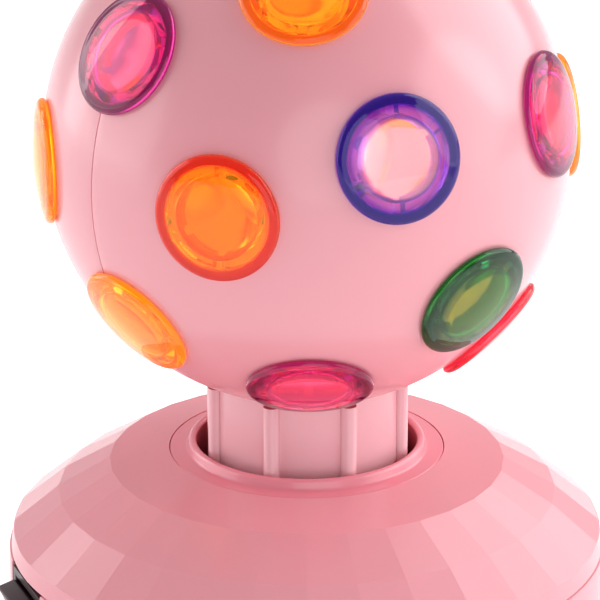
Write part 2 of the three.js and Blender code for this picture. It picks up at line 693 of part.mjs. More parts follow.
// Lower housing: round tray with a locating lip, screw bosses, a notched pad for the switch and an inlet hole
function lowerHousing() {
  const wallTop = PARTING - FIT / 2;
  const inner = HOUSING_RADIUS - HOUSING_WALL;
  const lipOuter = COVER_RADIUS - COVER_WALL - LIP_PLAY;
  const lipInner = lipOuter - LIP_THICKNESS;
  const lipFoot = PARTING - LIP_DEPTH;
  const tray = revolve(
    [
      [0, UNDERSIDE],
      [HOUSING_RADIUS - HOUSING_CHAMFER, UNDERSIDE],
      [HOUSING_RADIUS, UNDERSIDE + HOUSING_CHAMFER],
      [HOUSING_RADIUS, wallTop],
      [lipOuter, wallTop],
      [lipOuter, PARTING + LIP_HEIGHT],
      [lipInner, PARTING + LIP_HEIGHT],
      [lipInner, lipFoot],
      [inner, lipFoot - LIP_THICKNESS],
      [inner, FLOOR_TOP],
      [0, FLOOR_TOP],
    ],
    BASE_STEPS,
  );
  const earBottom = MOTOR_TOP - MOTOR_EAR_THICKNESS;
  const added = [
    disc(TOWER_RADIUS + FIT, UNDERSIDE, BOSS_TOP, LARGE_STEPS),
    ...coverPosts().map((azimuth) =>
      placed(disc(BOSS_RADIUS, UNDERSIDE, BOSS_TOP), COVER_POST_PLACE, azimuth),
    ),
    ...motorScrewPlaces(() => disc(MOTOR_EAR_RADIUS - FIT, UNDERSIDE, earBottom - FIT, SMALL_STEPS)),
  ];
  const padHalf = BEZEL_WIDTH / 2 + PAD_MARGIN;
  const padDepth = [-HOUSING_RADIUS - OVERRUN, -PAD_FACE + PAD_THICKNESS];
  const pad = block([-padHalf, padHalf], padDepth, [FLOOR_TOP - FLOOR_THICKNESS / 2, wallTop]);
  const hull = solid(disc(HOUSING_RADIUS - HOUSING_WALL / 2, UNDERSIDE, PARTING, BASE_STEPS));
  const body = joined(tray, ...added).add(solid(pad.rotateZ(degrees(SWITCH_AZIMUTH))).intersect(hull));
  return geometryOf(cut(body, ...switchCuts(), ...floorHoles(), glandHole()));
}
function switchCuts() {
  const half = BEZEL_WIDTH / 2 + FIT;
  const bodyHalf = half - BODY_MARGIN;
  const bodyBottom = SWITCH_Z - BEZEL_HEIGHT / 2 + BODY_MARGIN - FIT;
  const above = PARTING + LIP_HEIGHT + OVERRUN;
  const bottom = SWITCH_Z - BEZEL_HEIGHT / 2 - FIT;
  const inward = -(BEZEL_BACK - BODY_DEPTH);
  const outside = HOUSING_RADIUS + OVERRUN;
  return [
    block([-half, half], [-outside, -PAD_FACE], [bottom, above]),
    block([-bodyHalf, bodyHalf], [-outside, inward], [bodyBottom, above]),
  ].map((cutter) => cutter.rotateZ(degrees(SWITCH_AZIMUTH)));
}
function floorHoles() {
  const screwPlaces = [
    ...coverPosts().map((azimuth) => [COVER_POST_PLACE, azimuth]),
    ...around(TOWER_SCREWS).map((azimuth) => [towerScrewPlace(), azimuth]),
  ];
  return [
    ...screwPlaces.flatMap(([distance, azimuth]) => [
      placed(bore(SCREW_HOLE, UNDERSIDE - OVERRUN, BOSS_TOP + OVERRUN, SCREW_STEPS), distance, azimuth),
      placed(bore(SCREW_HEAD_RADIUS + FIT, UNDERSIDE - OVERRUN, SCREW_SEAT, SCREW_STEPS), distance, azimuth),
    ]),
    ...around(FEET).map((azimuth) =>
      placed(bore(FOOT_STEM_RADIUS + FIT, UNDERSIDE - OVERRUN, FLOOR_TOP + OVERRUN), FOOT_PLACE, azimuth),
    ),
    ...motorScrewPlaces(() => bore(SCREW_HOLE, MOTOR_TOP - SCREW_BITE - FIT, MOTOR_TOP, SCREW_STEPS)),
  ];
}
function motorScrewPlaces(make) {
  return [-MOTOR_EAR_SPAN / 2, MOTOR_EAR_SPAN / 2].map((offset) =>
    placed(make().translate(offset, 0, 0), MOTOR_PLACE, MOTOR_AZIMUTH),
  );
}
function glandHole() {
  return gland([
    [0, HOUSING_RADIUS - HOUSING_WALL * 2],
    [GLAND_RADIUS + RUN, HOUSING_RADIUS - HOUSING_WALL * 2],
    [GLAND_RADIUS + RUN, HOUSING_RADIUS + OVERRUN],
    [0, HOUSING_RADIUS + OVERRUN],
  ]);
}
// A revolve about a level line from the base's axis outward, at the height of the cord inlet
function gland(profile) {
  return revolve(profile, MEDIUM_STEPS)
    .rotateX(Math.PI / 2)
    .rotateZ(degrees(GLAND_AZIMUTH))
    .translate(0, 0, UNDERSIDE + GLAND_HEIGHT);
}
function cordGland() {
  const outside = HOUSING_RADIUS + FIT;
  const flats = (HOUSING_RADIUS - HOUSING_WALL) * Math.cos(Math.PI / BASE_STEPS);
  const inside = Math.sqrt(flats ** 2 - GLAND_FLANGE_RADIUS ** 2) - FIT;
  return gland([
    [GLAND_BORE, inside - GLAND_FLANGE],
    [GLAND_FLANGE_RADIUS, inside - GLAND_FLANGE],
    [GLAND_FLANGE_RADIUS, inside],
    [GLAND_RADIUS, inside],
    [GLAND_RADIUS, outside],
    [GLAND_FLANGE_RADIUS, outside],
    [GLAND_FLANGE_RADIUS, outside + GLAND_FLANGE],
    [GLAND_BORE, outside + GLAND_FLANGE],
  ]);
}
function foot() {
  return revolve(
    [
      [0, 0],
      [FOOT_RADIUS, 0],
      [FOOT_RADIUS, FOOT_HEIGHT - FIT],
      [FOOT_STEM_RADIUS, FOOT_HEIGHT - FIT],
      [FOOT_STEM_RADIUS, FLOOR_TOP - FIT],
      [0, FLOOR_TOP - FIT],
    ],
    SMALL_STEPS,
  );
}
function terminalBlock() {
  const { width, depth, height } = BLOCK_SIZE;
  const body = block([-width / 2, width / 2], [-depth / 2, depth / 2], [0, height]);
  const holes = [-width / 4, width / 4].map((place) =>
    disc(BLOCK_HOLE_RADIUS, -depth, depth, SMALL_STEPS)
      .rotateX(Math.PI / 2)
      .translate(place, 0, height / 2),
  );
  return geometryOf(cut(solid(body), ...holes));
}

// Switch: flanged body with a pocket for the rocker and two blade terminals, facing the front
function switchBody() {
  const halfWidth = BEZEL_WIDTH / 2;
  const halfHeight = BEZEL_HEIGHT / 2;
  const bodyWidth = halfWidth - BODY_MARGIN;
  const bodyHeight = halfHeight - BODY_MARGIN;
  const back = BEZEL_BACK - BODY_DEPTH;
  const openWidth = halfWidth - BEZEL_BORDER;
  const openHeight = halfHeight - BEZEL_BORDER;
  const bezel = block([-halfWidth, halfWidth], [-BEZEL_FACE, -BEZEL_BACK], [-halfHeight, halfHeight]);
  const body = block([-bodyWidth, bodyWidth], [-BEZEL_FACE, -back], [-bodyHeight, bodyHeight]);
  const blades = [-TERMINAL_SPACING / 2, TERMINAL_SPACING / 2].map((height) =>
    block(
      [-TERMINAL_WIDTH / 2, TERMINAL_WIDTH / 2],
      [-back - OVERRUN, -back + TERMINAL_LENGTH],
      [height - TERMINAL_THICKNESS / 2, height + TERMINAL_THICKNESS / 2],
    ),
  );
  const pocket = block(
    [-openWidth, openWidth],
    [-BEZEL_FACE - OVERRUN, -BEZEL_FACE + POCKET_DEPTH],
    [-openHeight, openHeight],
  );
  return geometryOf(cut(joined(bezel, body, ...blades), pocket));
}
// Rocker: dished front between two raised ends. It is built about its pivot, level.
function switchRocker() {
  const half = BEZEL_HEIGHT / 2 - BEZEL_BORDER;
  const end = half * ROCKER_END_SHARE;
  const tip = half * ROCKER_TIP_SHARE;
  const back = half * ROCKER_BACK_SHARE;
  const width = BEZEL_WIDTH - (BEZEL_BORDER + FIT) * 2;
  const outline = [
    [-ROCKER_BACK, -back],
    [0, -end],
    [ROCKER_TIP, -tip],
    [ROCKER_DISH, 0],
    [ROCKER_TIP, tip],
    [0, end],
    [-ROCKER_BACK, back],
  ].map(([outward, height]) => new THREE.Vector2(outward, height));
  const side = extruded(new THREE.Shape(outline), -width / 2, width / 2);
  return side.rotateX(Math.PI / 2).rotateZ(-Math.PI / 2);
}

// Lamp: threaded pipe with two nuts, lamp holder, bulb cap and golf-ball bulb
function lampPipe() {
  const bottom = LOWER_NUT_Z - PIPE_TAIL;
  const top = HOLDER_Z + HOLDER_BASE - FIT;
  return revolve(
    [
      [PIPE_RADIUS - PIPE_WALL, bottom],
      [PIPE_RADIUS, bottom],
      [PIPE_RADIUS, top],
      [PIPE_RADIUS - PIPE_WALL, top],
    ],
    MEDIUM_STEPS,
  );
}
function pipeNut() {
  const shape = new THREE.Shape(circlePoints(NUT_RADIUS, NUT_SIDES));
  shape.holes.push(new THREE.Path().setFromPoints(circlePoints(PIPE_RADIUS + RUN, MEDIUM_STEPS)));
  return extruded(shape, 0, NUT_HEIGHT);
}
function lampHolder() {
  const socket = CAP_RADIUS + FIT;
  return revolve(
    [
      [PIPE_RADIUS + FIT, HOLDER_Z],
      [HOLDER_RADIUS, HOLDER_Z],
      [HOLDER_RADIUS, HOLDER_TOP],
      [socket, HOLDER_TOP],
      [socket, HOLDER_Z + HOLDER_BASE],
      [PIPE_RADIUS + FIT, HOLDER_Z + HOLDER_BASE],
    ],
    LARGE_STEPS,
  );
}
function bulbCap() {
  return revolve(
    [
      [0, BULB_TIP],
      [CAP_TIP_RADIUS, BULB_TIP],
      [CAP_RADIUS, BULB_TIP + CAP_TIP_HEIGHT],
      [CAP_RADIUS, CAP_TOP - CAP_FLARE],
      [BULB_NECK_RADIUS, CAP_TOP],
      [0, CAP_TOP],
    ],
    MEDIUM_STEPS,
  );
}
function bulbGlobe() {
  const arc = (radius, neck) => {
    const sweep = Math.PI - Math.asin(neck / radius);
    const side = Array.from({ length: BULB_RINGS }, (_, index) => {
      const angle = sweep * (1 - index / BULB_RINGS);
      return [radius * Math.sin(angle), BALL_Z + radius * Math.cos(angle)];
    });
    return [...side, [0, BALL_Z + radius]];
  };
  const outer = arc(BULB_RADIUS, BULB_NECK_RADIUS);
  const inner = arc(BULB_RADIUS - BULB_GLASS, BULB_NECK_RADIUS - BULB_GLASS).reverse();
  const bottom = CAP_TOP + FIT;
  return revolve(
    [...inner, [BULB_NECK_RADIUS - BULB_GLASS, bottom], [BULB_NECK_RADIUS, bottom], ...outer],
    MEDIUM_STEPS,
  );
}

// Assembly
const lamp = new THREE.Group();
function add(parent, name, geometry, material) {
  const mesh = new THREE.Mesh(geometry, material);
  mesh.name = name;
  parent.add(mesh);
  return mesh;
}
function addAround(name, azimuths, distance, height, make, material) {
  azimuths.forEach((azimuth, index) => {
    const mesh = add(lamp, `${name}_${index + 1}`, make(), material);
    mesh.position.set(0, -distance, height).applyAxisAngle(new THREE.Vector3(0, 0, 1), degrees(azimuth));
    mesh.rotation.z = degrees(azimuth);
  });
}

add(lamp, "lower_housing", lowerHousing(), MATERIALS.pink);
add(lamp, "top_cover", topCover(), MATERIALS.pink);
add(lamp, "collar_ring", collarRing(), MATERIALS.pink);
add(lamp, "bearing_tower", bearingTower(), MATERIALS.white);
add(lamp, "bearing_ring", bearingRing(), MATERIALS.white);
add(lamp, "cord_gland", cordGland(), MATERIALS.black);
addAround("foot", around(FEET), FOOT_PLACE, 0, foot, MATERIALS.rubber);
const floorScrew = () => screw(BOSS_TOP + SCREW_BITE - SCREW_SEAT + FIT);
const floorScrewZ = SCREW_SEAT - FIT;
addAround("cover_screw", coverPosts(), COVER_POST_PLACE, floorScrewZ, floorScrew, MATERIALS.steel);
addAround("tower_screw", around(TOWER_SCREWS), towerScrewPlace(), floorScrewZ, floorScrew, MATERIALS.steel);

add(lamp, "terminal_block", terminalBlock(), MATERIALS.white).position.set(0, BLOCK_PLACE, FLOOR_TOP + FIT);

const drive = new THREE.Group();
drive.position.set(0, -MOTOR_PLACE, 0).applyAxisAngle(new THREE.Vector3(0, 0, 1), degrees(MOTOR_AZIMUTH));
drive.rotation.z = degrees(MOTOR_AZIMUTH);
lamp.add(drive);
const motor = add(drive, "drive_motor", driveMotor(), MATERIALS.steel);
motor.rotation.z = Math.PI / 2;
[-MOTOR_EAR_SPAN / 2, MOTOR_EAR_SPAN / 2].forEach((offset, index) => {
  const down = screw(SCREW_BITE).rotateX(Math.PI);
  const mesh = add(drive, `motor_screw_${index + 1}`, down, MATERIALS.steel);
  mesh.position.set(offset, 0, MOTOR_TOP + FIT);
});
const spindle = new THREE.Group();
spindle.rotation.z = Math.PI + Math.PI / PINION_TEETH;
drive.add(spindle);
add(spindle, "motor_shaft", motorShaft(), MATERIALS.steel);
add(spindle, "drive_pinion", drivePinion(), MATERIALS.white);

add(lamp, "turntable_gear", turntableGear(), MATERIALS.white);
add(lamp, "neck_drum", neckDrum(), MATERIALS.pink);
around(NECK_SCREWS).forEach((azimuth, index) => {
  const down = screw(NECK_FOOT_THICKNESS + NECK_SCREW_BITE).rotateX(Math.PI);
  const mesh = add(lamp, `neck_screw_${index + 1}`, down, MATERIALS.steel);
  mesh.position
    .set(0, -neckScrewRadius(), NECK_FOOT_TOP + FIT)
    .applyAxisAngle(new THREE.Vector3(0, 0, 1), degrees(azimuth));
});

add(lamp, "lamp_pipe", lampPipe(), MATERIALS.brass);
add(lamp, "pipe_nut_upper", pipeNut(), MATERIALS.brass).position.z = SHOULDER_TOP + FIT;
add(lamp, "pipe_nut_lower", pipeNut(), MATERIALS.brass).position.z = LOWER_NUT_Z;
add(lamp, "lamp_holder", lampHolder(), MATERIALS.white);
add(lamp, "bulb_cap", bulbCap(), MATERIALS.brass);
add(lamp, "bulb_globe", bulbGlobe(), MATERIALS.bulbGlass);

const control = new THREE.Group();
control.rotation.z = degrees(SWITCH_AZIMUTH);
lamp.add(control);
add(control, "switch_body", switchBody(), MATERIALS.black).position.z = SWITCH_Z;
const rocker = add(control, "switch_rocker", switchRocker(), MATERIALS.black);
rocker.position.set(0, PIVOT_DEPTH - BEZEL_FACE, SWITCH_Z);
rocker.rotation.x = degrees(ROCKER_TILT);

const ball = new THREE.Group();
ball.position.z = BALL_Z;
lamp.add(ball);
add(ball, "ball_half_a", ballHalf(0), MATERIALS.pink);
add(ball, "ball_half_b", ballHalf(1), MATERIALS.pink).rotation.z = Math.PI;
for (const lens of LENSES) {
  HALVES.forEach((letter, half) => {
    const { tilt, turn } = lensDirection(lens, half);
    const mesh = add(ball, `lens_${lens.name}_${letter}`, lensGeometry(), LENS_MATERIALS[lens.colour]);
    mesh.rotation.set(tilt, 0, turn, "ZXY");
    mesh.position.set(0, 0, BALL_RADIUS).applyEuler(mesh.rotation);
  });
}

export default lamp;
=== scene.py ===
import math

import bmesh
import bpy
from mathutils import Euler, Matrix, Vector


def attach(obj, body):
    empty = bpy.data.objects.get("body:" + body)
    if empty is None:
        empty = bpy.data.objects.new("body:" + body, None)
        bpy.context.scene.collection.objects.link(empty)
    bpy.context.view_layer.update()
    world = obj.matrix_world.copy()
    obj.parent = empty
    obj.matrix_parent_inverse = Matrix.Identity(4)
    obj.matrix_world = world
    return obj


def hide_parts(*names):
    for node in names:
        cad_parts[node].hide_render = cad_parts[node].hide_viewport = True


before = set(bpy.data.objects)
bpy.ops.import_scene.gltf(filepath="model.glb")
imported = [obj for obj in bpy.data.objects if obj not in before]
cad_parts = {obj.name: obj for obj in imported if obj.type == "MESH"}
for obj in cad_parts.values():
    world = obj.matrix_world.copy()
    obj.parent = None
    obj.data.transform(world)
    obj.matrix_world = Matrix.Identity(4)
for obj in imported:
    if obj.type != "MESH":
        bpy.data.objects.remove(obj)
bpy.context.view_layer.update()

# Feet: four soft rubber pads under the floor, each pressed in by its stem.
# They are moulded, so the tread has a rounded edge and a shallow dished face.
MM = 0.001
FOOT_SPOTS = [(0, -62), (62, 0), (0, 62), (-62, 0)]
FOOT_RINGS = [
    (1, 0.25), (5.6, 0.25), (6.2, 0), (7.3, 0), (7.85, 0.3), (8, 0.9), (8, 2.5), (7.8, 2.7), (2.7, 2.7),
    (2.7, 5.1), (1, 5.1),
]
SAME_PLACE = 1e-6
DRIFT_SCALE = 22
SKIN_DEPTH = 0.1


def deselect_all():
    """Leaves edit mode and lets go of every piece."""
    if bpy.context.mode != "OBJECT":
        bpy.ops.object.mode_set(mode="OBJECT")
    bpy.ops.object.select_all(action="DESELECT")


def start_edit():
    """Opens the piece just added in edit mode, with its place applied and all of it selected."""
    bpy.ops.object.transform_apply(location=True, rotation=True, scale=True)
    bpy.ops.object.mode_set(mode="EDIT")
    bpy.ops.mesh.select_all(action="SELECT")


def pick(test):
    """Selects the vertices of the piece in edit mode that pass the test."""
    bpy.ops.mesh.select_mode(type="VERT")
    bpy.ops.mesh.select_all(action="DESELECT")
    mesh = bmesh.from_edit_mesh(bpy.context.object.data)
    for vertex in mesh.verts:
        vertex.select_set(test(vertex.co))
    mesh.select_flush_mode()
    bmesh.update_edit_mesh(bpy.context.object.data)


def drawn_rings(name, sides, rings, turn=0.0, closed=False):
    """Draws a round piece from a circle, ring by ring of (radius, height) in mm.
    A closed one ends on its first ring, and any other gets a lid at both ends."""
    deselect_all()
    first_radius, first_height = rings[0]
    bpy.ops.mesh.primitive_circle_add(
        vertices=sides, radius=first_radius * MM, location=(0, 0, first_height * MM), rotation=(0, 0, turn)
    )
    piece = bpy.context.object
    piece.name = name
    start_edit()
    radius, height = first_radius, first_height
    for next_radius, next_height in rings[1:]:
        rise = (next_height - height) * MM
        grow = next_radius / radius
        bpy.ops.mesh.extrude_region_move(TRANSFORM_OT_translate={"value": (0, 0, rise)})
        bpy.ops.transform.resize(value=(grow, grow, 1), center_override=(0, 0, next_height * MM))
        radius, height = next_radius, next_height
    if closed:
        bpy.ops.mesh.select_all(action="SELECT")
        bpy.ops.mesh.remove_doubles(threshold=0.01 * MM)
    else:
        bpy.ops.mesh.edge_face_add()
        pick(
            lambda at: abs(at.z - first_height * MM) < SAME_PLACE
            and abs(at.xy.length - first_radius * MM) < SAME_PLACE
        )
        bpy.ops.mesh.edge_face_add()
    bpy.ops.mesh.select_all(action="SELECT")
    bpy.ops.mesh.normals_make_consistent(inside=False)
    bpy.ops.object.mode_set(mode="OBJECT")
    return piece


def applied(piece, kind, **settings):
    """Gives a piece one modifier and applies it."""
    deselect_all()
    piece.select_set(True)
    bpy.context.view_layer.objects.active = piece
    modifier = piece.modifiers.new(kind, kind)
    for key, value in settings.items():
        setattr(modifier, key, value)
    bpy.ops.object.modifier_apply(modifier=modifier.name)


def softened(piece, angle):
    """Shades a piece smooth, but for edges that turn by more than an angle in degrees."""
    deselect_all()
    piece.select_set(True)
    bpy.context.view_layer.objects.active = piece
    bpy.ops.object.shade_smooth_by_angle(angle=math.radians(angle))
    return piece


def copied(piece, name):
    """A second piece with a mesh of its own."""
    twin = piece.copy()
    twin.data = piece.data.copy()
    twin.name = name
    bpy.context.collection.objects.link(twin)
    return twin


def settled(piece, location=(0, 0, 0), rotation=(0, 0, 0)):
    """Puts a piece in its place and moves that place into its mesh."""
    deselect_all()
    piece.select_set(True)
    bpy.context.view_layer.objects.active = piece
    piece.location = location
    piece.rotation_euler = rotation
    bpy.ops.object.transform_apply(location=True, rotation=True, scale=True)
    return piece


def worked_out(tree, operation, *values):
    """Adds a Math node to a node tree and gives its output. A value is a number or a node's output."""
    node = tree.nodes.new("ShaderNodeMath")
    node.operation = operation
    for socket, value in zip(node.inputs, values):
        if isinstance(value, bpy.types.NodeSocket):
            tree.links.new(value, socket)
        else:
            socket.default_value = value
    return node.outputs[0]


def blended(tree, share, first, second):
    """Adds a colour mix to a node tree and gives its output."""
    node = tree.nodes.new("ShaderNodeMix")
    node.data_type = "RGBA"
    tree.links.new(share, node.inputs["Factor"])
    tree.links.new(first, node.inputs["A"])
    tree.links.new(second, node.inputs["B"])
    return node.outputs["Result"]


def moulded_skin():
    """Node group: slow drift of tone and a fine skin, as on a moulded surface."""
    group = bpy.data.node_groups.new("Moulded skin", "ShaderNodeTree")
    face = group.interface
    for name in ("Color", "Second Color"):
        face.new_socket(name=name, in_out="INPUT", socket_type="NodeSocketColor")
    for name in ("Drift", "Roughness", "Roughness Spread", "Grain Scale"):
        face.new_socket(name=name, in_out="INPUT", socket_type="NodeSocketFloat")
    face.new_socket(name="Color", in_out="OUTPUT", socket_type="NodeSocketColor")
    face.new_socket(name="Roughness", in_out="OUTPUT", socket_type="NodeSocketFloat")
    face.new_socket(name="Height", in_out="OUTPUT", socket_type="NodeSocketFloat")
    nodes, links = group.nodes, group.links
    outside = nodes.new("NodeGroupInput")
    result = nodes.new("NodeGroupOutput")
    place = nodes.new("ShaderNodeTexCoord")
    slow = nodes.new("ShaderNodeTexNoise")
    slow.inputs["Scale"].default_value = DRIFT_SCALE
    slow.inputs["Detail"].default_value = 3
    fine = nodes.new("ShaderNodeTexNoise")
    fine.inputs["Detail"].default_value = 4
    links.new(place.outputs["Object"], slow.inputs["Vector"])
    links.new(place.outputs["Object"], fine.inputs["Vector"])
    links.new(outside.outputs["Grain Scale"], fine.inputs["Scale"])
    drift = worked_out(group, "MULTIPLY", slow.outputs["Fac"], outside.outputs["Drift"])
    tone = blended(group, drift, outside.outputs["Color"], outside.outputs["Second Color"])
    spread = outside.outputs["Roughness Spread"]
    roughness = worked_out(group, "MULTIPLY_ADD", fine.outputs["Fac"], spread, outside.outputs["Roughness"])
    links.new(tone, result.inputs["Color"])
    links.new(roughness, result.inputs["Roughness"])
    links.new(fine.outputs["Fac"], result.inputs["Height"])
    return group


SKIN = moulded_skin()


def skinned(name, color, second, drift, roughness, spread, grain, bump, **sockets):
    """A material on the moulded skin group, with plain values on the shader's other sockets."""
    material = bpy.data.materials.new(name)
    material.use_nodes = True
    nodes, links = material.node_tree.nodes, material.node_tree.links
    shader = nodes["Principled BSDF"]
    skin = nodes.new("ShaderNodeGroup")
    skin.node_tree = SKIN
    skin.inputs["Color"].default_value = (*color, 1)
    skin.inputs["Second Color"].default_value = (*second, 1)
    skin.inputs["Drift"].default_value = drift
    skin.inputs["Roughness"].default_value = roughness
    skin.inputs["Roughness Spread"].default_value = spread
    skin.inputs["Grain Scale"].default_value = grain
    links.new(skin.outputs["Color"], shader.inputs["Base Color"])
    links.new(skin.outputs["Roughness"], shader.inputs["Roughness"])
    relief = nodes.new("ShaderNodeBump")
    relief.inputs["Strength"].default_value = bump
    relief.inputs["Distance"].default_value = SKIN_DEPTH * MM
    links.new(skin.outputs["Height"], relief.inputs["Height"])
    links.new(relief.outputs["Normal"], shader.inputs["Normal"])
    for socket, value in sockets.items():
        shader.inputs[socket.replace("_", " ")].default_value = value
    return material


def dressed(piece, material, body, node):
    """Gives a finished piece its material in one slot and its body, and hides the solid that it stands for.
    """
    piece.data.materials.clear()
    piece.data.materials.append(material)
    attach(piece, body)
    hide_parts(node)


def repainted(material, *names):
    """Gives carried-over solids a new material in their own slots."""
    for name in names:
        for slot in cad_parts[name].material_slots:
            slot.material = material


rubber = skinned(
    "Black rubber", (0.035, 0.034, 0.034), (0.06, 0.058, 0.056),
    drift=0.6, roughness=0.7, spread=0.2, grain=900, bump=0.5,
)
foot_model = softened(drawn_rings("foot_pad", 40, FOOT_RINGS), angle=40)
for number, (x, y) in enumerate(FOOT_SPOTS, 1):
    pad = settled(copied(foot_model, f"foot_pad_{number}"), location=(x * MM, y * MM, 0))
    dressed(pad, rubber, "base", f"foot_{number}")
bpy.data.objects.remove(foot_model)

# Lower housing: a round injection-moulded tray of glossy pink polystyrene with a rolled bottom edge.
# Its floor carries screw pillars, and its wall is notched on the left for the switch and bored at the back.
TRAY_SIDES = 160
PINK = (0.87, 0.365, 0.415)
PINK_DEEP = (0.855, 0.34, 0.395)
TRAY_RINGS = [
    (2, 3), (75.2, 3), (77.4, 3.3), (79.2, 4.1), (80.4, 5.4), (80.9, 6.6), (81, 8), (81, 30.3), (80.85, 30.6),
    (80.5, 30.7), (77.1, 30.7), (77.1, 33.3), (76.8, 33.6), (75.7, 33.6), (75.4, 33.3), (75.4, 28.2),
    (78.6, 26.5), (78.6, 6.3), (77.8, 5.5), (2, 5.5),
]
SWITCH_TURN = math.radians(-70)
SWITCH_PAD = ((-15.75, -80.2, 4.2), (15.75, -73.7, 30.65))
SWITCH_NOTCH = ((-12.55, -90, 8.5), (12.55, -77.7, 40))
SWITCH_HOLE = ((-11.45, -90, 9.6), (11.45, -66.5, 40))
COVER_SCREW_DISTANCE, TOWER_SCREW_DISTANCE = 68, 16
MOTOR_SPOTS = [(44, -24.75), (44, 24.75)]
COVER_PILLAR_RADIUS, MOTOR_PILLAR_RADIUS, TOWER_PAD_RADIUS = 5, 3.7, 18.8
PILLAR_SPAN, MOTOR_PILLAR_SPAN = (4, 8.5), (4, 19.5)
PILOT_RADIUS, PILOT_SPAN, MOTOR_PILOT_SPAN = 1.8, (0, 12), (11, 24)
SCREW_HEAD_RADIUS, SCREW_HEAD_SPAN = 3.4, (0, 5.1)
STEM_HOLE_RADIUS, STEM_HOLE_SPAN = 3.3, (0, 7)
INLET_RADIUS, INLET_HEIGHT = 5.4, 14
TO_THE_BACK = (math.radians(-90), 0, 0)
CORNER_ANGLE = 50
TRAY_BEVEL = 0.2
GLOSS = {"drift": 0.5, "roughness": 0.17, "spread": 0.06, "grain": 1400, "bump": 0.03}


def around(distance, azimuths):
    """Spots at a distance in mm from the lamp's axis, at azimuths in degrees from the front."""
    turns = [math.radians(azimuth) for azimuth in azimuths]
    return [(distance * math.sin(turn), -distance * math.cos(turn)) for turn in turns]


def drum(name, radius, bottom, top, sides=32, spot=(0, 0)):
    """A plain round bar for joining or cutting."""
    deselect_all()
    bpy.ops.mesh.primitive_cylinder_add(
        vertices=sides, radius=radius * MM, depth=(top - bottom) * MM,
        location=(spot[0] * MM, spot[1] * MM, (top + bottom) / 2 * MM),
    )
    piece = bpy.context.object
    piece.name = name
    bpy.ops.object.transform_apply(location=True, rotation=True, scale=True)
    return piece


def brick(name, low, high, turn=0.0):
    """A plain block between two corners in mm, turned about the lamp's axis."""
    deselect_all()
    middle = [(a + b) / 2 * MM for a, b in zip(low, high)]
    bpy.ops.mesh.primitive_cube_add(size=1, location=middle)
    piece = bpy.context.object
    piece.name = name
    piece.scale = [(b - a) * MM for a, b in zip(low, high)]
    bpy.ops.object.transform_apply(location=True, rotation=True, scale=True)
    return settled(piece, rotation=(0, 0, turn))


def bevelled(piece, width, segments, angle):
    """Rounds the edges of a piece that turn by more than an angle in degrees."""
    limit = math.radians(angle)
    applied(piece, "BEVEL", width=width * MM, segments=segments, limit_method="ANGLE", angle_limit=limit)


def fused(pieces):
    """Makes one piece of several, for joining or cutting in one go."""
    deselect_all()
    for piece in pieces:
        piece.select_set(True)
    bpy.context.view_layer.objects.active = pieces[0]
    bpy.ops.object.join()
    return bpy.context.object


def shaped(piece, operation, tool):
    """Joins to a piece, cuts from it or trims it by a tool, which is used up."""
    applied(piece, "BOOLEAN", operation=operation, object=tool, solver="MANIFOLD")
    bpy.data.objects.remove(tool)


pink = skinned("Pink moulded plastic", PINK, PINK_DEEP, **GLOSS)
cover_spots = around(COVER_SCREW_DISTANCE, (45, 135, 225, 315))
tower_spots = around(TOWER_SCREW_DISTANCE, (0, 120, 240))
tray = drawn_rings("housing_tray", TRAY_SIDES, TRAY_RINGS)
pillars = []
for spot in cover_spots:
    pillars.append(drum("pillar", COVER_PILLAR_RADIUS, *PILLAR_SPAN, sides=24, spot=spot))
for spot in MOTOR_SPOTS:
    pillars.append(drum("motor_pillar", MOTOR_PILLAR_RADIUS, *MOTOR_PILLAR_SPAN, sides=20, spot=spot))
pillars.append(drum("tower_pad", TOWER_PAD_RADIUS, *PILLAR_SPAN, sides=48))
shaped(tray, "UNION", fused(pillars))
pad = brick("switch_pad", *SWITCH_PAD, SWITCH_TURN)
shaped(pad, "INTERSECT", drum("trim", radius=80, bottom=3.5, top=40, sides=TRAY_SIDES))
shaped(tray, "UNION", pad)
screw_spots = cover_spots + tower_spots
holes = [drum("hole", PILOT_RADIUS, *PILOT_SPAN, sides=16, spot=spot) for spot in screw_spots]
holes += [drum("hole", PILOT_RADIUS, *MOTOR_PILOT_SPAN, sides=16, spot=spot) for spot in MOTOR_SPOTS]
holes += [drum("hole", STEM_HOLE_RADIUS, *STEM_HOLE_SPAN, sides=20, spot=spot) for spot in FOOT_SPOTS]
shaped(tray, "DIFFERENCE", fused(holes))
recesses = [drum("recess", SCREW_HEAD_RADIUS, *SCREW_HEAD_SPAN, sides=20, spot=spot) for spot in screw_spots]
shaped(tray, "DIFFERENCE", fused(recesses))
shaped(tray, "DIFFERENCE", brick("notch", *SWITCH_NOTCH, SWITCH_TURN))
shaped(tray, "DIFFERENCE", brick("switch_hole", *SWITCH_HOLE, SWITCH_TURN))
inlet = drum("inlet", INLET_RADIUS, bottom=70, top=90)
settled(inlet, location=(0, 0, INLET_HEIGHT * MM), rotation=TO_THE_BACK)
shaped(tray, "DIFFERENCE", inlet)
bevelled(tray, TRAY_BEVEL, segments=2, angle=CORNER_ANGLE)
dressed(softened(tray, angle=30), pink, "base", "lower_housing")

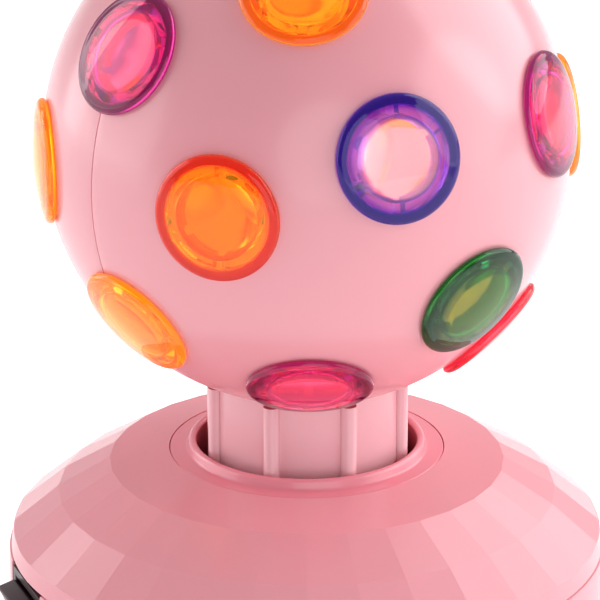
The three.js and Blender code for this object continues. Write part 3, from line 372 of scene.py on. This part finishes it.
# Top cover: one moulding of the same pink plastic, with three rings of flat facets over a low round wall.
# The facets' edges are faintly rounded, and posts underneath take the four screws from the floor.
FACET_SIDES, ROUND_SIDES = 32, 128
FACET_RINGS = [
    (84, 30.95), (84, 32.36), (67.4, 46.4), (53.4, 54.8), (36, 58.5), (36, 53.8), (41.4, 53.8), (52.2, 51.6),
    (65.7, 43.4), (77.4, 34.2), (78.2, 30.95),
]
WALL_RINGS = [(80.5, 30), (80.5, 31), (79.7, 36), (79.5, 60)]
COVER_TUBE_RINGS = [(33, 37.7), (35.2, 37.7), (35.2, 54.6), (37, 54.6), (37, 56), (33, 56), (33, 37.7)]
UNDER_SKIN_RINGS = [(60, 5), (76, 5), (76, 33), (61, 46), (60, 46)]
COLLAR_SEAT_RADIUS, COLLAR_SEAT_SPAN = 37.25, (56, 62)
COVER_MOUTH_RADIUS, COVER_MOUTH_SPAN = 35, (50, 57)
POST_RADIUS, POST_SPAN, POST_PILOT_SPAN = 4, (8.8, 44), (5, 16.8)
RIM_BEVEL, RIM_ANGLE = 1.1, 30
CREASE_BEVEL, CREASE_ANGLE = 0.15, 5
facets = FACET_RINGS + [FACET_RINGS[0]]
cover = drawn_rings("faceted_cover", FACET_SIDES, facets, math.radians(-90), closed=True)
shaped(cover, "INTERSECT", drawn_rings("wall", TRAY_SIDES, WALL_RINGS))
tube = drawn_rings("cover_tube", 96, COVER_TUBE_RINGS, closed=True)
shaped(cover, "DIFFERENCE", drum("seat", COLLAR_SEAT_RADIUS, *COLLAR_SEAT_SPAN, sides=ROUND_SIDES))
shaped(cover, "DIFFERENCE", drum("mouth", COVER_MOUTH_RADIUS, *COVER_MOUTH_SPAN, sides=96))
shaped(cover, "UNION", tube)
posts = fused([drum("post", POST_RADIUS, *POST_SPAN, sides=24, spot=spot) for spot in cover_spots])
shaped(posts, "INTERSECT", drawn_rings("under_skin", 64, UNDER_SKIN_RINGS))
shaped(cover, "UNION", posts)
pilots = [drum("pilot", PILOT_RADIUS, *POST_PILOT_SPAN, sides=16, spot=spot) for spot in cover_spots]
shaped(cover, "DIFFERENCE", fused(pilots))
bevelled(cover, RIM_BEVEL, segments=4, angle=RIM_ANGLE)
bevelled(cover, CREASE_BEVEL, segments=2, angle=CREASE_ANGLE)
dressed(softened(cover, angle=20), pink, "base", "top_cover")

# Collar ring: a separate pink moulding let into the cover's mouth, with a flat face and a rounded lip, in a
# deeper pink that paints the ball's shade.
# It hides the turntable and leaves a running gap round the drum, whose walls get a darker, matt pink as
# painted shade.
COLLAR_RINGS = [
    (29.8, 48), (32.7, 48), (32.7, 56.3), (37.1, 56.3), (37.1, 57.9), (36.85, 58.15), (36.5, 58.2),
    (32.9, 58.2), (32.4, 58.4), (32.15, 58.8), (32.0, 60), (31.75, 60.6), (31.3, 60.95), (30.8, 61),
    (30.3, 60.85), (30, 60.5), (29.85, 60), (29.8, 48),
]
COLLAR_BORE_RADIUS, COLLAR_BORE_TOP = 30.1, 59.9
# The collar gets a deeper pink than the cover, as painted shade from the ball above.
SHADED_COLLAR_PINK = (0.86, 0.29, 0.355)
SHADED_COLLAR_PINK_DEEP = (0.85, 0.27, 0.335)
# A darker, matt pink for the running gap and the rib tops, painted as shade.
PAINTED_SHADE_PINK = (0.45, 0.07, 0.09)
PAINTED_SHADE_PINK_DEEP = (0.38, 0.05, 0.07)
COLLAR_GLOSS = {**GLOSS, "roughness": 0.18}
POLISH = {"Specular_IOR_Level": 0.7}
collar = drawn_rings("collar", ROUND_SIDES, COLLAR_RINGS, closed=True)
shaded_collar_pink = skinned("Pink collar plastic deepened as painted shade", SHADED_COLLAR_PINK, SHADED_COLLAR_PINK_DEEP, **COLLAR_GLOSS, **POLISH)
painted_shade_pink = skinned(
    "Matt pink plastic darkened as painted shade", PAINTED_SHADE_PINK, PAINTED_SHADE_PINK_DEEP,
    drift=0.6, roughness=0.6, spread=0.2, grain=900, bump=0.3,
)


def painted_shade_where(piece, test):
    """Gives the faces of a dressed piece whose middle passes the test a darker, matt pink, as painted shade.
    """
    if len(piece.data.materials) == 1:
        piece.data.materials.append(painted_shade_pink)
    for face in piece.data.polygons:
        if test(face.center / MM, face.normal):
            face.material_index = 1


dressed(softened(collar, angle=50), shaded_collar_pink, "base", "collar_ring")
# Painted shade: the collar's bore gets the darker, matt pink.
painted_shade_where(collar, lambda at, facing: at.z < COLLAR_BORE_TOP and at.xy.length < COLLAR_BORE_RADIUS)

# Neck drum: a pink tube, paler than the cover as painted sheen, screwed to the turntable, which turns with
# the ball. Eight half-round ribs are moulded down its side, each ending square under the ball, where its flat
# top is painted dark as shade and shows as a dark crescent; the drum's foot in the collar's gap is painted
# dark as shade too.
DRUM_RADIUS = 26.6
DRUM_RINGS = [
    (24.6, 32.7), (35.6, 32.7), (35.6, 35.2), (27.2, 35.2), (DRUM_RADIUS, 35.8), (DRUM_RADIUS, 58.2),
    (DRUM_RADIUS, 87.49), (30.6, 87.49), (30.6, 89.49), (24.6, 89.49), (24.6, 32.7),
]
RIB_COUNT, FIRST_RIB, RIB_RADIUS, RIB_SPAN = 8, 24.5, 2.2, (34, 79.3)
RIB_TOP_ZONE = (79, 79.5)
NECK_SCREW_DISTANCE, NECK_PILOT_SPAN = 31, (30, 38)
NECK_BEVEL = 0.25
DRUM_SKIN = DRUM_RADIUS + 0.1
GAP_TOP = 58
# The drum's pink is paler than the cover's, as painted sheen on its sides.
NECK_PINK_WITH_PAINTED_SHEEN = (0.87, 0.45, 0.50)
NECK_PINK_DEEP_WITH_PAINTED_SHEEN = (0.86, 0.43, 0.48)
neck = drawn_rings("ribbed_drum", ROUND_SIDES, DRUM_RINGS, closed=True)
ribs = []
for step in range(RIB_COUNT):
    rib = drum("rib", RIB_RADIUS, *RIB_SPAN, spot=(0, -DRUM_RADIUS))
    ribs.append(settled(rib, rotation=(0, 0, math.radians(FIRST_RIB + 360 / RIB_COUNT * step))))
ribs = fused(ribs)
shaped(ribs, "DIFFERENCE", drum("core", radius=25, bottom=30, top=90, sides=64))
shaped(neck, "UNION", ribs)
neck_spots = around(NECK_SCREW_DISTANCE, (0, 120, 240))
pilots = [drum("pilot", PILOT_RADIUS, *NECK_PILOT_SPAN, sides=16, spot=spot) for spot in neck_spots]
shaped(neck, "DIFFERENCE", fused(pilots))
bevelled(neck, NECK_BEVEL, segments=2, angle=CORNER_ANGLE)
sheen_painted_neck_pink = skinned("Pink drum plastic paled as painted sheen", NECK_PINK_WITH_PAINTED_SHEEN, NECK_PINK_DEEP_WITH_PAINTED_SHEEN, **GLOSS, **POLISH)
dressed(softened(neck, angle=30), sheen_painted_neck_pink, "ball", "neck_drum")
low, high = RIB_TOP_ZONE
# Painted shade: the rib tops and the drum wall down in the collar's gap get the darker, matt pink.
painted_shade_where(neck, lambda at, facing: low < at.z < high and facing.z > 0.9 and at.xy.length > DRUM_SKIN)
painted_shade_where(neck, lambda at, facing: at.z < GAP_TOP and at.xy.length < DRUM_SKIN)

# Ball: two half shells of the same pink plastic, polished outside and snapped together on a seam plane.
# Each has a round hole for every lens that it carries, and half of the spigot that grips the drum.
BALL_Z, BALL_RADIUS, BALL_WALL = 144.93, 70, 2
SEAM_TURN, SEAM_GAP, SEAM_BEVEL = math.radians(-52), 0.18, 0.42
HALF_SPACE = ((SEAM_GAP, -80, 60), (80, 80, 230))
SPIGOT_RINGS = [(26, 79), (29.6, 79), (29.6, 87.19), (26, 87.19), (26, 79)]
BALL_MOUTH_RADIUS, LENS_HOLE_RADIUS = 26.9, 13.8
# Latitude and azimuth in degrees of each lens on half a, and of its partner on half b.
LENSES = {
    "magenta_high": ((31.6, -51), (31.6, 129)), "amber_top": ((52, -1), (52, -103)),
    "orange_side": ((3, 99.5), (-1.5, -81.3)), "red_orange": ((1.5, -19), (1.5, 157.3)),
    "violet": ((14, 20), (14, -124)), "magenta_side": ((13, 69.2), (13, -173)),
    "orange_low": ((-31.2, -48.3), (-23, -146)), "green_low": ((-23, 42), (-31.2, 131.7)),
    "red_low": ((-44, 76), (-44, 180)), "crimson_low": ((-47.5, 1), (-47.5, -105)),
    "green_high": ((56, 84), (56, 172)),
}


def lens_turn(latitude, azimuth):
    """Turns straight up to the way that a lens faces."""
    return Euler((math.radians(90 - latitude), 0, math.radians(azimuth)), "XYZ")


def sphere(name, radius, sides, turn=0.0):
    """A round form about the ball's middle, with half as many rings as sides."""
    deselect_all()
    bpy.ops.mesh.primitive_uv_sphere_add(
        segments=sides, ring_count=sides // 2, radius=radius * MM, location=BALL_MIDDLE, rotation=(0, 0, turn)
    )
    piece = bpy.context.object
    piece.name = name
    bpy.ops.object.transform_apply(location=True, rotation=True, scale=True)
    return piece


BALL_MIDDLE = (0, 0, BALL_Z * MM)
ball_pink = skinned("Pink polished ball plastic", PINK, PINK_DEEP, **GLOSS, **POLISH)
shell = sphere("ball_shell_a", BALL_RADIUS, sides=144, turn=SEAM_TURN)
applied(shell, "SOLIDIFY", thickness=BALL_WALL * MM, offset=-1, use_even_offset=True)
spigot = drawn_rings("spigot", 96, SPIGOT_RINGS, closed=True)
shaped(spigot, "INTERSECT", sphere("middle_of_wall", BALL_RADIUS - BALL_WALL / 2, sides=96))
shaped(shell, "UNION", spigot)
shaped(shell, "DIFFERENCE", drum("mouth", BALL_MOUTH_RADIUS, bottom=60, top=95, sides=ROUND_SIDES))
other_shell = copied(shell, "ball_shell_b")
halves = [(shell, "ball_half_a", SEAM_TURN), (other_shell, "ball_half_b", SEAM_TURN + math.pi)]
for half, solid, turn in halves:
    shaped(half, "INTERSECT", brick("half", *HALF_SPACE, turn))
    cutters = []
    for places in LENSES.values():
        for latitude, azimuth in places:
            cutter = drum("lens_hole", LENS_HOLE_RADIUS, bottom=55, top=75, sides=56)
            cutters.append(settled(cutter, location=BALL_MIDDLE, rotation=lens_turn(latitude, azimuth)))
    shaped(half, "DIFFERENCE", fused(cutters))
    bevelled(half, SEAM_BEVEL, segments=3, angle=CORNER_ANGLE)
    dressed(softened(half, angle=30), ball_pink, "ball", solid)

# Lenses: clear dyed acrylic caps, each held in its hole by a slotted skirt of snap fingers.
# The crown is thin and pale, and the long way through the rim and skirt makes the ring deep in colour.
PINHOLE = 0.4
LENS_RINGS = [
    (PINHOLE, 0.75), (4, 0.62), (8, 0.15), (10.4, -0.45), (11, -1.0), (11, -5.6), (10.8, -6.5), (13.1, -6.5),
    (13.7, -5.8), (13.7, -5.3), (13.4, -4.9), (13.4, -1.5), (13.7, -1.2), (15.4, -1.6), (16.1, -1.6),
    (16.5, -1.35), (16.7, -0.95), (16.65, -0.5), (16.4, 0.05), (16, 0.45), (15.5, 0.72), (15, 0.88),
    (14.5, 0.98), (14, 1.12), (13, 1.4), (12, 1.62), (9, 2.08), (6, 2.42), (3, 2.63), (PINHOLE, 2.7),
]
LENS_EDGE = 16.7 * MM
FINGER_SLOT = ((-20, -1.3, -8), (20, 1.3, -3.2))
FINGER_SLOT_TURNS = (31, 89)
# How far across the ring, as a share of it, and how deep its colour is there.
RING_STOPS = [(0.01, 0), (0.12, 0.72), (0.23, 0.8), (0.39, 0.86), (0.53, 1), (0.98, 1)]
LENS_GRAIN, GRAIN_ROUGHNESS = 700, 0.05
INNER_FACE_TOP, INNER_FACE_RADIUS, INNER_FROST = 1.0 * MM, 10.9 * MM, 0.14
# Colour of the face, colour of the ring, where the ring starts as a share of the radius, and strength of a
# painted glow.
DYES = {
    "magenta": ((0.82, 0.16, 0.31), (0.30, 0.003, 0.15), 0.63, 0.14),
    "amber": ((1.0, 0.52, 0.01), (1.0, 0.34, 0.005), 0.60, 0.12),
    "orange": ((1.0, 0.46, 0.01), (1.0, 0.32, 0.005), 0.60, 0.15),
    "red_orange": ((0.88, 0.30, 0.004), (0.86, 0.08, 0.03), 0.80, 0.10),
    "violet": ((0.94, 0.57, 0.57), (0.065, 0.006, 0.38), 0.57, 0.18),
    "green": ((0.15, 0.42, 0.03), (0.004, 0.12, 0.03), 0.60, 0.08),
    "red": ((1.0, 0.20, 0.22), (0.85, 0.02, 0.05), 0.60, 0.12),
    "crimson": ((0.85, 0.15, 0.30), (0.26, 0.002, 0.08), 0.66, 0.16),
}


def lens_dye():
    """Node group: pale over the middle of a lens and deep over its ring, with a faint frost on its inner
    face. It reads the place in the lens that each point has kept as an attribute."""
    group = bpy.data.node_groups.new("Lens dye", "ShaderNodeTree")
    face = group.interface
    for name in ("Face Color", "Ring Color"):
        face.new_socket(name=name, in_out="INPUT", socket_type="NodeSocketColor")
    face.new_socket(name="Color", in_out="OUTPUT", socket_type="NodeSocketColor")
    face.new_socket(name="Ring Start", in_out="INPUT", socket_type="NodeSocketFloat")
    face.new_socket(name="Roughness", in_out="OUTPUT", socket_type="NodeSocketFloat")
    nodes, links = group.nodes, group.links
    outside = nodes.new("NodeGroupInput")
    result = nodes.new("NodeGroupOutput")
    place = nodes.new("ShaderNodeAttribute")
    place.attribute_name = "lens_place"
    across = nodes.new("ShaderNodeVectorMath")
    across.operation = "MULTIPLY"
    across.inputs[1].default_value = (1, 1, 0)
    links.new(place.outputs["Vector"], across.inputs[0])
    radius = nodes.new("ShaderNodeVectorMath")
    radius.operation = "LENGTH"
    links.new(across.outputs["Vector"], radius.inputs[0])
    share = nodes.new("ShaderNodeMapRange")
    share.inputs["From Max"].default_value = LENS_EDGE
    links.new(outside.outputs["Ring Start"], share.inputs["From Min"])
    links.new(radius.outputs["Value"], share.inputs["Value"])
    ramp = nodes.new("ShaderNodeValToRGB")
    stops = ramp.color_ramp
    for at, tone in RING_STOPS:
        stop = stops.elements.new(at)
        stop.color = (tone, tone, tone, 1)
    stops.elements.remove(stops.elements[-1])
    stops.elements.remove(stops.elements[0])
    links.new(share.outputs["Result"], ramp.inputs["Fac"])
    tone = blended(group, ramp.outputs["Color"], outside.outputs["Face Color"], outside.outputs["Ring Color"])
    links.new(tone, result.inputs["Color"])
    grain = nodes.new("ShaderNodeTexNoise")
    grain.inputs["Scale"].default_value = LENS_GRAIN
    links.new(place.outputs["Vector"], grain.inputs["Vector"])
    axes = nodes.new("ShaderNodeSeparateXYZ")
    links.new(place.outputs["Vector"], axes.inputs["Vector"])
    below = worked_out(group, "LESS_THAN", axes.outputs["Z"], INNER_FACE_TOP)
    within = worked_out(group, "LESS_THAN", radius.outputs["Value"], INNER_FACE_RADIUS)
    inner_face = worked_out(group, "MULTIPLY", below, within)
    frost = worked_out(group, "MULTIPLY", inner_face, INNER_FROST)
    roughness = worked_out(group, "MULTIPLY_ADD", grain.outputs["Fac"], GRAIN_ROUGHNESS, frost)
    links.new(roughness, result.inputs["Roughness"])
    return group


DYE = lens_dye()


def dyed(name, face, ring, start, glow):
    """Clear dyed plastic, with a faint painted glow of its own colour, though it is no lamp."""
    material = bpy.data.materials.new(name)
    material.use_nodes = True
    nodes, links = material.node_tree.nodes, material.node_tree.links
    shader = nodes["Principled BSDF"]
    shader.inputs["Transmission Weight"].default_value = 1
    shader.inputs["IOR"].default_value = 1.45
    shader.inputs["Specular IOR Level"].default_value = 0.3
    # Painted glow: the lens gives off light of its own colour, though it is no lamp.
    shader.inputs["Emission Strength"].default_value = glow
    dye = nodes.new("ShaderNodeGroup")
    dye.node_tree = DYE
    dye.inputs["Face Color"].default_value = (*face, 1)
    dye.inputs["Ring Color"].default_value = (*ring, 1)
    dye.inputs["Ring Start"].default_value = start * LENS_EDGE
    links.new(dye.outputs["Color"], shader.inputs["Base Color"])
    links.new(dye.outputs["Roughness"], shader.inputs["Roughness"])
    links.new(dye.outputs["Color"], shader.inputs["Emission Color"])
    return material


dyes = {name: dyed(f"Clear {name.replace('_', ' ')} acrylic", *values) for name, values in DYES.items()}
lens_model = drawn_rings("lens", 72, LENS_RINGS)
for slot_turn in FINGER_SLOT_TURNS:
    shaped(lens_model, "DIFFERENCE", brick("slot", *FINGER_SLOT, math.radians(slot_turn)))
softened(lens_model, angle=35)
lens_place = lens_model.data.attributes.new("lens_place", "FLOAT_VECTOR", "POINT")
for vertex in lens_model.data.vertices:
    lens_place.data[vertex.index].vector = vertex.co
for name, places in LENSES.items():
    dye = name if name == "red_orange" else name.split("_")[0]
    for letter, (latitude, azimuth) in zip("ab", places):
        turn = lens_turn(latitude, azimuth)
        out = Vector((0, 0, BALL_RADIUS * MM))
        out.rotate(turn)
        lens = copied(lens_model, f"lens_cap_{name}_{letter}")
        settled(lens, location=out + Vector(BALL_MIDDLE), rotation=turn)
        dressed(lens, dyes[dye], "ball", f"lens_{name}_{letter}")
bpy.data.objects.remove(lens_model)

# Bulb: a clear golf-ball bulb in a brass screw cap, held by a white holder on a brass pipe from the base.
# The glass is blown, so its wall is thin and its neck runs smoothly into the cap.
BULB_STEPS = 14
BULB_RADIUS, BULB_NECK_RADIUS = 22.5, 8.6
BULB_INNER_RADIUS, BULB_INNER_NECK_RADIUS = 21.8, 7.9
BULB_NECK_END = 114
GLASS_SKIN = {
    "Color": (1, 1, 1, 1), "Second Color": (0.97, 0.98, 0.98, 1), "Drift": 0.5, "Roughness": 0.0,
    "Roughness Spread": 0.03, "Grain Scale": 300,
}


def blown_side(radius, neck_radius):
    """Rings of one side of the glass, from its neck up to its crown."""
    sweep = math.pi - math.asin(neck_radius / radius)
    rings = [(neck_radius, BULB_NECK_END)]
    for step in range(BULB_STEPS):
        angle = sweep * (1 - step / BULB_STEPS)
        rings.append((radius * math.sin(angle), BALL_Z + radius * math.cos(angle)))
    return rings + [(PINHOLE, BALL_Z + radius)]


inner_side = blown_side(BULB_INNER_RADIUS, BULB_INNER_NECK_RADIUS)
bulb_rings = inner_side[::-1] + blown_side(BULB_RADIUS, BULB_NECK_RADIUS)
globe = softened(drawn_rings("bulb_glass", 64, bulb_rings), angle=60)
glass = bpy.data.materials.new("Blown bulb glass")
glass.use_nodes = True
glass_nodes, glass_links = glass.node_tree.nodes, glass.node_tree.links
glass_shader = glass_nodes["Principled BSDF"]
glass_shader.inputs["Transmission Weight"].default_value = 1
glass_shader.inputs["IOR"].default_value = 1.5
glass_skin = glass_nodes.new("ShaderNodeGroup")
glass_skin.node_tree = SKIN
for socket, value in GLASS_SKIN.items():
    glass_skin.inputs[socket].default_value = value
glass_links.new(glass_skin.outputs["Color"], glass_shader.inputs["Base Color"])
glass_links.new(glass_skin.outputs["Roughness"], glass_shader.inputs["Roughness"])
passing = glass_nodes.new("ShaderNodeBsdfTransparent")
rays = glass_nodes.new("ShaderNodeLightPath")
either = glass_nodes.new("ShaderNodeMixShader")
glass_links.new(rays.outputs["Is Shadow Ray"], either.inputs["Fac"])
glass_links.new(glass_shader.outputs["BSDF"], either.inputs[1])
glass_links.new(passing.outputs["BSDF"], either.inputs[2])
glass_links.new(either.outputs["Shader"], glass_nodes["Material Output"].inputs["Surface"])
dressed(globe, glass, "base", "bulb_globe")
white = skinned(
    "White moulded plastic", (0.80, 0.78, 0.74), (0.74, 0.71, 0.66),
    drift=0.5, roughness=0.38, spread=0.15, grain=900, bump=0.15,
)
repainted(white, "lamp_holder")
brass = skinned(
    "Turned brass", (0.78, 0.56, 0.24), (0.62, 0.42, 0.16),
    drift=0.6, roughness=0.22, spread=0.15, grain=1200, bump=0.1, Metallic=1.0,
)
repainted(brass, "lamp_pipe", "pipe_nut_upper", "pipe_nut_lower", "bulb_cap")

# Works: a white plastic turntable that slides on a ring round a fixed tower, driven by a small gear motor.
# The motor, its shaft and all the screws are zinc-plated steel.
SCREW_COUNTS = {"motor": 2, "cover": 4, "tower": 3, "neck": 3}
repainted(white, "bearing_tower", "bearing_ring", "turntable_gear", "drive_pinion", "terminal_block")
steel = skinned(
    "Zinc-plated steel", (0.60, 0.61, 0.63), (0.48, 0.49, 0.52),
    drift=0.6, roughness=0.28, spread=0.2, grain=1000, bump=0.15, Metallic=1.0,
)
repainted(steel, "drive_motor", "motor_shaft")
for held, count in SCREW_COUNTS.items():
    repainted(steel, *(f"{held}_screw_{number}" for number in range(1, count + 1)))

# Switch: a snap-in rocker switch of black nylon, let into a notch of the wall on the left under the cover.
# The bezel's front edges are rounded, and the rocker is dished between its two raised ends.
BEZEL = ((-12.25, -80, 8.8), (12.25, -78, 29.8))
SWITCH_CASE = ((-11.15, -78.5, 9.9), (11.15, -66.5, 28.7))
ROCKER_POCKET = ((-9.8, -90, 11.25), (9.8, -74, 27.35))
BEZEL_BEVEL, BLADE_BEVEL, ROCKER_BEVEL = 0.45, 0.2, 0.4
BLADE_HEIGHTS, BLADE_THICKNESS = (15.8, 22.8), 0.8
ROCKER_WIDTH, ROCKER_FACE = 19, -5
ROCKER_OUTLINE = [(3.6, -3.38), (0, -7.57), (-4.2, -6.9), (ROCKER_FACE, -6.44)]
DISH_DEPTH, DISH_REACH = 1.6, 6.44
ROCKER_PIVOT, ROCKER_TIP = (0, -79.5, 19.3), math.radians(8)
black = skinned(
    "Black nylon", (0.050, 0.024, 0.029), (0.065, 0.036, 0.040),
    drift=0.5, roughness=0.24, spread=0.15, grain=1500, bump=0.2, Specular_IOR_Level=0.35,
)
bezel = brick("switch_bezel", *BEZEL)
shaped(bezel, "DIFFERENCE", brick("opening", *ROCKER_POCKET))
case = brick("switch_case", *SWITCH_CASE)
shaped(case, "DIFFERENCE", brick("pocket", *ROCKER_POCKET))
shaped(bezel, "UNION", case)
bevelled(bezel, BEZEL_BEVEL, segments=3, angle=CORNER_ANGLE)
softened(bezel, angle=30)
for height in BLADE_HEIGHTS:
    low = (-3.15, -67, height - BLADE_THICKNESS / 2)
    high = (3.15, -58.5, height + BLADE_THICKNESS / 2)
    blade = brick("blade", low, high)
    bevelled(blade, BLADE_BEVEL, segments=2, angle=30)
    bezel = fused([bezel, blade])
settled(bezel, rotation=(0, 0, SWITCH_TURN))
dressed(bezel, black, "base", "switch_body")


def dished(height):
    """A point of the rocker's pressed face, as (depth, height) in mm from its pivot."""
    return ROCKER_FACE + DISH_DEPTH * (1 - (height / DISH_REACH) ** 2), height


deselect_all()
bpy.ops.mesh.primitive_plane_add(size=1)
rocker = bpy.context.object
rocker.name = "switch_key"
start_edit()
bpy.ops.mesh.delete(type="VERT")
sheet = bmesh.from_edit_mesh(rocker.data)
lower_half = ROCKER_OUTLINE + [dished(height) for height in (-4.8, -3.2, -1.6)]
upper_half = [(depth, -height) for depth, height in reversed(lower_half)]
outline = lower_half + [dished(0)] + upper_half
left = -ROCKER_WIDTH / 2 * MM
corners = [sheet.verts.new((left, depth * MM, height * MM)) for depth, height in outline]
sheet.faces.new(corners)
bmesh.update_edit_mesh(rocker.data)
bpy.ops.mesh.select_all(action="SELECT")
bpy.ops.mesh.extrude_region_move(TRANSFORM_OT_translate={"value": (ROCKER_WIDTH * MM, 0, 0)})
bpy.ops.mesh.select_all(action="SELECT")
bpy.ops.mesh.normals_make_consistent(inside=False)
bpy.ops.object.mode_set(mode="OBJECT")
bevelled(rocker, ROCKER_BEVEL, segments=3, angle=35)
softened(rocker, angle=30)
settled(rocker, rotation=(ROCKER_TIP, 0, 0))
settled(rocker, location=[at * MM for at in ROCKER_PIVOT])
settled(rocker, rotation=(0, 0, SWITCH_TURN))
dressed(rocker, black, "rocker", "switch_rocker")

# Cord gland: a bush of the same black nylon, pressed into the hole at the back of the housing.
# A rounded flange on each side of the wall holds it there.
GLAND_RINGS = [
    (3.2, 74.8), (6.4, 74.8), (7, 75.2), (7, 76.1), (5, 76.1), (5, 81.3), (6.6, 81.3), (7, 81.6), (7, 82.4),
    (6.6, 82.8), (6.0, 82.9), (3.8, 82.9), (3.2, 82.5), (3.2, 74.8),
]
gland = softened(drawn_rings("cord_bush", 48, GLAND_RINGS, closed=True), angle=40)
settled(gland, location=(0, 0, INLET_HEIGHT * MM), rotation=TO_THE_BACK)
dressed(gland, black, "base", "cord_gland")

# Studio: a wide white floor, large soft lamps behind, on both sides, in front and above, and a sky that
# is brighter behind. A small lamp in the bulb lights the lenses from inside.
# The floor glows a little, and more where it is in sight, straight on or by way of gloss or glass.
FLOOR_GLOW, MORE_IN_SIGHT = 0.27, 0.25
SKY_RANGE = {"From Min": -1, "From Max": 1, "To Min": 0.2, "To Max": 0.6}
# Place in metres, width, height and power.
LAMPS = {
    "right_back": ((0.95, 0.45, 0.75), 1.4, 1.4, 10.5),
    "left_back": ((-1.0, 0.6, 0.35), 0.4, 1.3, 3.0),
    "left": ((-1.25, 0.05, 0.4), 1.2, 1.2, 5.8),
    "right": ((1.3, -0.3, 0.6), 1.2, 1.2, 6.2),
    "front": ((0.3, -1.6, 0.5), 1.4, 1.4, 6.9),
    "above": ((0, 0.3, 1.6), 2.0, 2.0, 0.5),
}
LAMP_AIM = (0, 0, 0.12)
deselect_all()
bpy.ops.mesh.primitive_plane_add(size=24)
floor = bpy.context.object
floor.name = "studio_floor"
floor_paint = bpy.data.materials.new("Studio white")
floor_paint.use_nodes = True
tree = floor_paint.node_tree
paint_nodes, paint_links = tree.nodes, tree.links
paint = paint_nodes["Principled BSDF"]
paint.inputs["Base Color"].default_value = (0.9, 0.9, 0.9, 1)
paint.inputs["Roughness"].default_value = 0.9
paint.inputs["Specular IOR Level"].default_value = 0.1
seen = paint_nodes.new("ShaderNodeLightPath")
lift = paint_nodes.new("ShaderNodeEmission")
total = paint_nodes.new("ShaderNodeAddShader")
looked_at = worked_out(tree, "MAXIMUM", seen.outputs["Is Camera Ray"], seen.outputs["Is Glossy Ray"])
in_sight = worked_out(tree, "MAXIMUM", looked_at, seen.outputs["Is Transmission Ray"])
strength = worked_out(tree, "MULTIPLY_ADD", in_sight, MORE_IN_SIGHT, FLOOR_GLOW)
paint_links.new(strength, lift.inputs["Strength"])
paint_links.new(paint.outputs["BSDF"], total.inputs[0])
paint_links.new(lift.outputs["Emission"], total.inputs[1])
paint_links.new(total.outputs["Shader"], paint_nodes["Material Output"].inputs["Surface"])
floor.data.materials.append(floor_paint)

world = bpy.data.worlds.new("Studio sky")
bpy.context.scene.world = world
world.use_nodes = True
sky_nodes, sky_links = world.node_tree.nodes, world.node_tree.links
sky = sky_nodes["Background"]
sky.inputs["Color"].default_value = (1, 1, 1, 1)
outlook = sky_nodes.new("ShaderNodeTexCoord")
axes = sky_nodes.new("ShaderNodeSeparateXYZ")
sky_links.new(outlook.outputs["Generated"], axes.inputs["Vector"])
brighter_behind = sky_nodes.new("ShaderNodeMapRange")
for socket, value in SKY_RANGE.items():
    brighter_behind.inputs[socket].default_value = value
sky_links.new(axes.outputs["Y"], brighter_behind.inputs["Value"])
sky_rays = sky_nodes.new("ShaderNodeLightPath")
brightness = brighter_behind.outputs["Result"]
backdrop = worked_out(world.node_tree, "MAXIMUM", brightness, sky_rays.outputs["Is Camera Ray"])
sky_links.new(backdrop, sky.inputs["Strength"])

for name, (place, width, height, power) in LAMPS.items():
    light = bpy.data.lights.new(f"{name}_lamp", "AREA")
    light.shape = "ELLIPSE"
    light.size, light.size_y, light.energy = width, height, power
    holder = bpy.data.objects.new(f"{name}_lamp", light)
    bpy.context.collection.objects.link(holder)
    holder.location = place
    holder.rotation_euler = (Vector(LAMP_AIM) - Vector(place)).to_track_quat("-Z", "Y").to_euler()
glow_light = bpy.data.lights.new("bulb_glow", "POINT")
glow_light.energy = 0.26
glow_light.shadow_soft_size = 0.012
glow = bpy.data.objects.new("bulb_glow", glow_light)
bpy.context.collection.objects.link(glow)
glow.location = BALL_MIDDLE
glow.visible_camera = False
glow.visible_transmission = False

# The camera stands in front and looks down by 20.65 degrees through a long lens.
camera = bpy.data.cameras.new("camera")
camera.lens = 286.6
camera.sensor_width = 36
camera.shift_x = -0.0112
camera.shift_y = 0.002
camera.clip_start, camera.clip_end = 0.01, 60
stand = bpy.data.objects.new("camera", camera)
bpy.context.collection.objects.link(stand)
stand.location = (0, -1.1977, 0.5511)
stand.rotation_euler = (math.radians(69.35), 0, 0)
bpy.context.scene.camera = stand
bpy.context.scene.view_settings.view_transform = "Standard"
